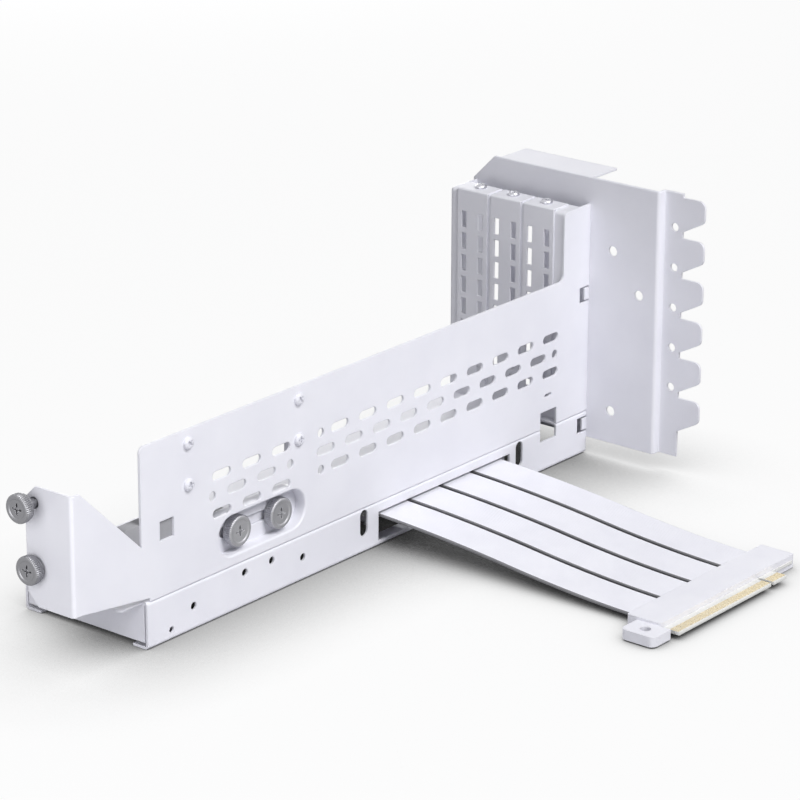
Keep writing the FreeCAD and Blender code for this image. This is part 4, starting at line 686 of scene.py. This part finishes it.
PLUG_COVERS = ("plug_cover_top", "plug_cover_bottom", "plug_tab")
PLUG_SIDES = (155.0, 257.0)
PLUG_DEPTHS = (-154.2, -164.0, -172.0)
PLUG_LEVELS = (2.4, 4.0)
TONGUE_SIDES = (155.5, 240.5)
TONGUE_KEY = (228.0, 229.9)
TONGUE_BEVEL = 0.45
TONGUE_CORNER = 0.6
TONGUE_CORNER_STEPS = 2
ROUND_PROFILE = 0.5
PAD_COUNTS = (72, 11)
PAD_WIDE = 0.66
PAD_DEPTHS = (-166.6, -171.2)
PAD_THICK = 0.06
PAD_NOSE = 0.55
PAD_DRAFT = 0.9
PLUG_SMOOTH = 30.0
SAME_PLACE = 1e-6


def slab(outline, low, high):
    """Upright prism over an outline in the XY plane, as an editable mesh."""
    made = bmesh.new()
    base, top = [[made.verts.new(at(x, y, z)) for x, y in outline] for z in (low, high)]
    made.faces.new(base)
    made.faces.new(top)
    for k in range(len(outline)):
        made.faces.new((base[k - 1], base[k], top[k], top[k - 1]))
    bmesh.ops.recalc_face_normals(made, faces=made.faces)
    return made


def bevel_where(made, test, offset, segments):
    """Cuts off the edges whose two ends together pass the test."""
    edges = [edge for edge in made.edges if test(*[vert.co for vert in edge.verts])]
    bmesh.ops.bevel(
        made,
        geom=edges,
        offset=offset * MM,
        segments=segments,
        affect="EDGES",
        profile=ROUND_PROFILE,
    )


def add_plug_board():
    left, right = PLUG_SIDES
    near, shoulder, edge = PLUG_DEPTHS
    first, last = TONGUE_SIDES
    key_left, key_right = TONGUE_KEY
    outline = (
        (left, near), (left, shoulder), (first, shoulder), (first, edge),
        (key_left, edge), (key_left, shoulder), (key_right, shoulder), (key_right, edge),
        (last, edge), (last, shoulder), (right, shoulder), (right, near),
    )
    made = slab(outline, *PLUG_LEVELS)
    tip = at(0, edge, 0).y

    def at_tip(a, b):
        return abs(a.y - tip) < SAME_PLACE and abs(b.y - tip) < SAME_PLACE

    def upright_at_tip(a, b):
        return at_tip(a, b) and abs(a.x - b.x) < SAME_PLACE

    def along_tip(a, b):
        return at_tip(a, b) and abs(a.z - b.z) < SAME_PLACE

    bevel_where(made, upright_at_tip, TONGUE_CORNER, TONGUE_CORNER_STEPS)
    bevel_where(made, along_tip, TONGUE_BEVEL, 1)
    bmesh.ops.dissolve_degenerate(made, dist=SAME_PLACE, edges=made.edges)
    mesh = bpy.data.meshes.new("fine_plug_board")
    made.to_mesh(mesh)
    made.free()
    board = show_mesh(mesh, PLUG_SMOOTH)
    stand_in(board, "plug_board", "bracket")
    return board


def add_pad(verts, faces, x, level, out):
    """One contact: a thin raised strip with a rounded inner end."""
    inner, outer = PAD_DEPTHS
    half = PAD_WIDE / 2
    nose = half * PAD_NOSE
    outline = [
        (-half, outer), (half, outer), (half, inner - half),
        (nose, inner), (-nose, inner), (-half, inner - half),
    ]
    if out < 0:
        outline.reverse()
    size = len(outline)
    first = len(verts)
    verts.extend(at(x + u, v, level) for u, v in outline)
    verts.extend(at(x + u * PAD_DRAFT, v, level + out) for u, v in outline)
    for k in range(size):
        a = first + k
        b = first + (k + 1) % size
        faces.append((a, b, b + size, a + size))
    faces.append(tuple(range(first + size, first + 2 * size)))
    faces.append(tuple(range(first + size - 1, first - 1, -1)))


def add_pads():
    """Rows of slim contacts on both sides of the key, above and below the tongue."""
    low, high = PLUG_LEVELS
    stretches = ((TONGUE_SIDES[0], TONGUE_KEY[0]), (TONGUE_KEY[1], TONGUE_SIDES[1]))
    verts = []
    faces = []
    for (start, end), count in zip(stretches, PAD_COUNTS):
        pitch = (end - start) / count
        for index in range(count):
            x = start + pitch * (index + 0.5)
            for level, out in ((high, PAD_THICK), (low, -PAD_THICK)):
                add_pad(verts, faces, x, level, out)
    pads = skin("fine_plug_contacts", verts, faces, PLUG_SMOOTH)
    stand_in(pads, "plug_contacts", "bracket")
    return pads


# Card slot: two rows of slim sprung contacts in its groove

SLOT_GROOVE = (10.5, 12.5)
SLOT_ROWS = ((163.5, 234.95, 71), (236.85, 248.5, 11))
SPRING_WIDE = 0.5
SPRING_THICK = 0.16
# Reach from the groove's wall and height of each bend
SPRING_LINE = ((0.05, 21.4), (0.06, 23.0), (0.34, 25.4), (0.52, 26.6), (0.3, 27.9), (0.08, 28.3))
SPRING_SMOOTH = 50.0


def add_spring(verts, faces, x, wall, inward):
    """One contact: a bent strip whose belly reaches toward the middle of the groove."""
    first = len(verts)
    for reach, z in SPRING_LINE:
        for side in (inward * SPRING_WIDE / 2, -inward * SPRING_WIDE / 2):
            for depth in (reach, reach + SPRING_THICK):
                verts.append(at(x + side, wall + inward * depth, z))
    corners = 4
    for k in range(len(SPRING_LINE) - 1):
        a = first + corners * k
        b = a + corners
        for i, j in ((0, 1), (1, 3), (3, 2), (2, 0)):
            faces.append((a + i, a + j, b + j, b + i))
    last = first + corners * (len(SPRING_LINE) - 1)
    faces.append((first, first + 2, first + 3, first + 1))
    faces.append((last, last + 1, last + 3, last + 2))


def add_springs():
    near, far = SLOT_GROOVE
    verts = []
    faces = []
    for start, end, count in SLOT_ROWS:
        pitch = (end - start) / count
        for index in range(count):
            x = start + pitch * (index + 0.5)
            for wall, inward in ((near, 1.0), (far, -1.0)):
                add_spring(verts, faces, x, wall, inward)
    stand_in(skin("fine_slot_contacts", verts, faces, SPRING_SMOOTH), "slot_contacts", "bracket")


# Stage: pale floor, white surroundings, soft studio lamps

WHITE_LIGHT = (1.0, 1.0, 1.0, 1.0)
SKY_COLOUR = (0.96, 0.97, 1.0, 1.0)
SKY_LEVEL = 0.16
FLOOR_COLOUR = (0.5, 0.5, 0.52, 1.0)
FLOOR_HALF = 6.0
FLOOR_DROP = 0.0002
FLOOR_GLOW = 0.94
# Reach, range and samples of the ambient occlusion that paints shadow into the floor's glow
SHADE_REACH = 0.07
SHADE_RANGE = (0.1, 0.95)
SHADE_SAMPLES = 8
AIM = (0.0, 0.0, 0.06)
# Each row: name, place, aim, watts, width and height
LAMPS = (
    ("key", (-0.09, -1.07, 1.32), AIM, 26.0, (0.8, 0.8)),
    ("fill", (-0.5, -0.07, 0.17), (-0.19, 0.0, 0.05), 0.72, (0.25, 0.25)),
    ("back", (0.9, 0.95, 0.16), AIM, 5.0, (0.7, 0.3)),
)


def see_through_factor(tree):
    """1 for camera, glossy and transmission rays, 0 for the rays that light the object."""
    path = tree.nodes.new("ShaderNodeLightPath")
    first = node(tree, "ShaderNodeMath", operation="MAXIMUM")
    link(tree, path.outputs["Is Camera Ray"], first.inputs[0])
    link(tree, path.outputs["Is Glossy Ray"], first.inputs[1])
    second = node(tree, "ShaderNodeMath", operation="MAXIMUM")
    link(tree, first.outputs[0], second.inputs[0])
    link(tree, path.outputs["Is Transmission Ray"], second.inputs[1])
    return second.outputs[0]


def mix_shaders(tree, factor, first, second, output):
    mix = tree.nodes.new("ShaderNodeMixShader")
    link(tree, factor, mix.inputs[0])
    link(tree, first.outputs[0], mix.inputs[1])
    link(tree, second.outputs[0], mix.inputs[2])
    link(tree, mix.outputs[0], output.inputs[0])


def add_world():
    world = bpy.data.worlds.new("studio")
    bpy.context.scene.world = world
    world.use_nodes = True
    tree = world.node_tree
    tree.nodes.clear()
    output = tree.nodes.new("ShaderNodeOutputWorld")
    lit = node(tree, "ShaderNodeBackground", Color=SKY_COLOUR, Strength=SKY_LEVEL)
    seen = node(tree, "ShaderNodeBackground", Color=WHITE_LIGHT, Strength=1.0)
    mix_shaders(tree, see_through_factor(tree), lit, seen, output)


def paint_floor(mesh):
    """Pale matt floor that looks white; ambient occlusion dims its glow, painted shadow that makes
    it darker where the object shades it.
    """
    material = bpy.data.materials.new("floor")
    material.use_nodes = True
    tree = material.node_tree
    tree.nodes.clear()
    output = tree.nodes.new("ShaderNodeOutputMaterial")
    matt = node(tree, "ShaderNodeBsdfDiffuse", Color=FLOOR_COLOUR)
    glow = node(tree, "ShaderNodeEmission", Color=WHITE_LIGHT)
    # Ambient occlusion dims the floor's glow: painted shadow under and near the object
    painted_shadow = node(
        tree, "ShaderNodeAmbientOcclusion", samples=SHADE_SAMPLES, Distance=SHADE_REACH
    )
    level = spread(tree, painted_shadow.outputs["AO"], SHADE_RANGE, 0.0, 1.0)
    link(tree, level, glow.inputs["Strength"])
    share = node(tree, "ShaderNodeMath", operation="MULTIPLY")
    share.inputs[1].default_value = FLOOR_GLOW
    link(tree, see_through_factor(tree), share.inputs[0])
    mix_shaders(tree, share.outputs[0], matt, glow, output)
    mesh.materials.append(material)


def add_floor():
    mesh = bpy.data.meshes.new("floor")
    size = FLOOR_HALF
    corners = [(-size, -size, 0), (size, -size, 0), (size, size, 0), (-size, size, 0)]
    mesh.from_pydata(corners, [], [(0, 1, 2, 3)])
    floor = bpy.data.objects.new("floor", mesh)
    floor.location.z = -FLOOR_DROP
    bpy.context.collection.objects.link(floor)
    paint_floor(mesh)


def add_lamp(name, place, aim, power, size):
    data = bpy.data.lights.new(name, "AREA")
    data.shape = "RECTANGLE"
    data.size, data.size_y = size
    data.energy = power
    lamp = bpy.data.objects.new(name, data)
    lamp.location = place
    lamp.rotation_euler = (Vector(aim) - Vector(place)).to_track_quat("-Z", "Y").to_euler()
    lamp.visible_camera = False
    bpy.context.collection.objects.link(lamp)


# The scene

add_camera()
paint_nodes()
plug = [add_plug_board(), add_pads()]
plug.extend(frame["nodes"][name] for name in PLUG_COVERS)
for strip_index in range(RIBBON_COUNT):
    add_strip(strip_index)
add_screws()
add_knobs()
add_springs()
add_world()
add_floor()
for lamp in LAMPS:
    add_lamp(*lamp)

bpy.context.scene.view_settings.view_transform = "Standard"
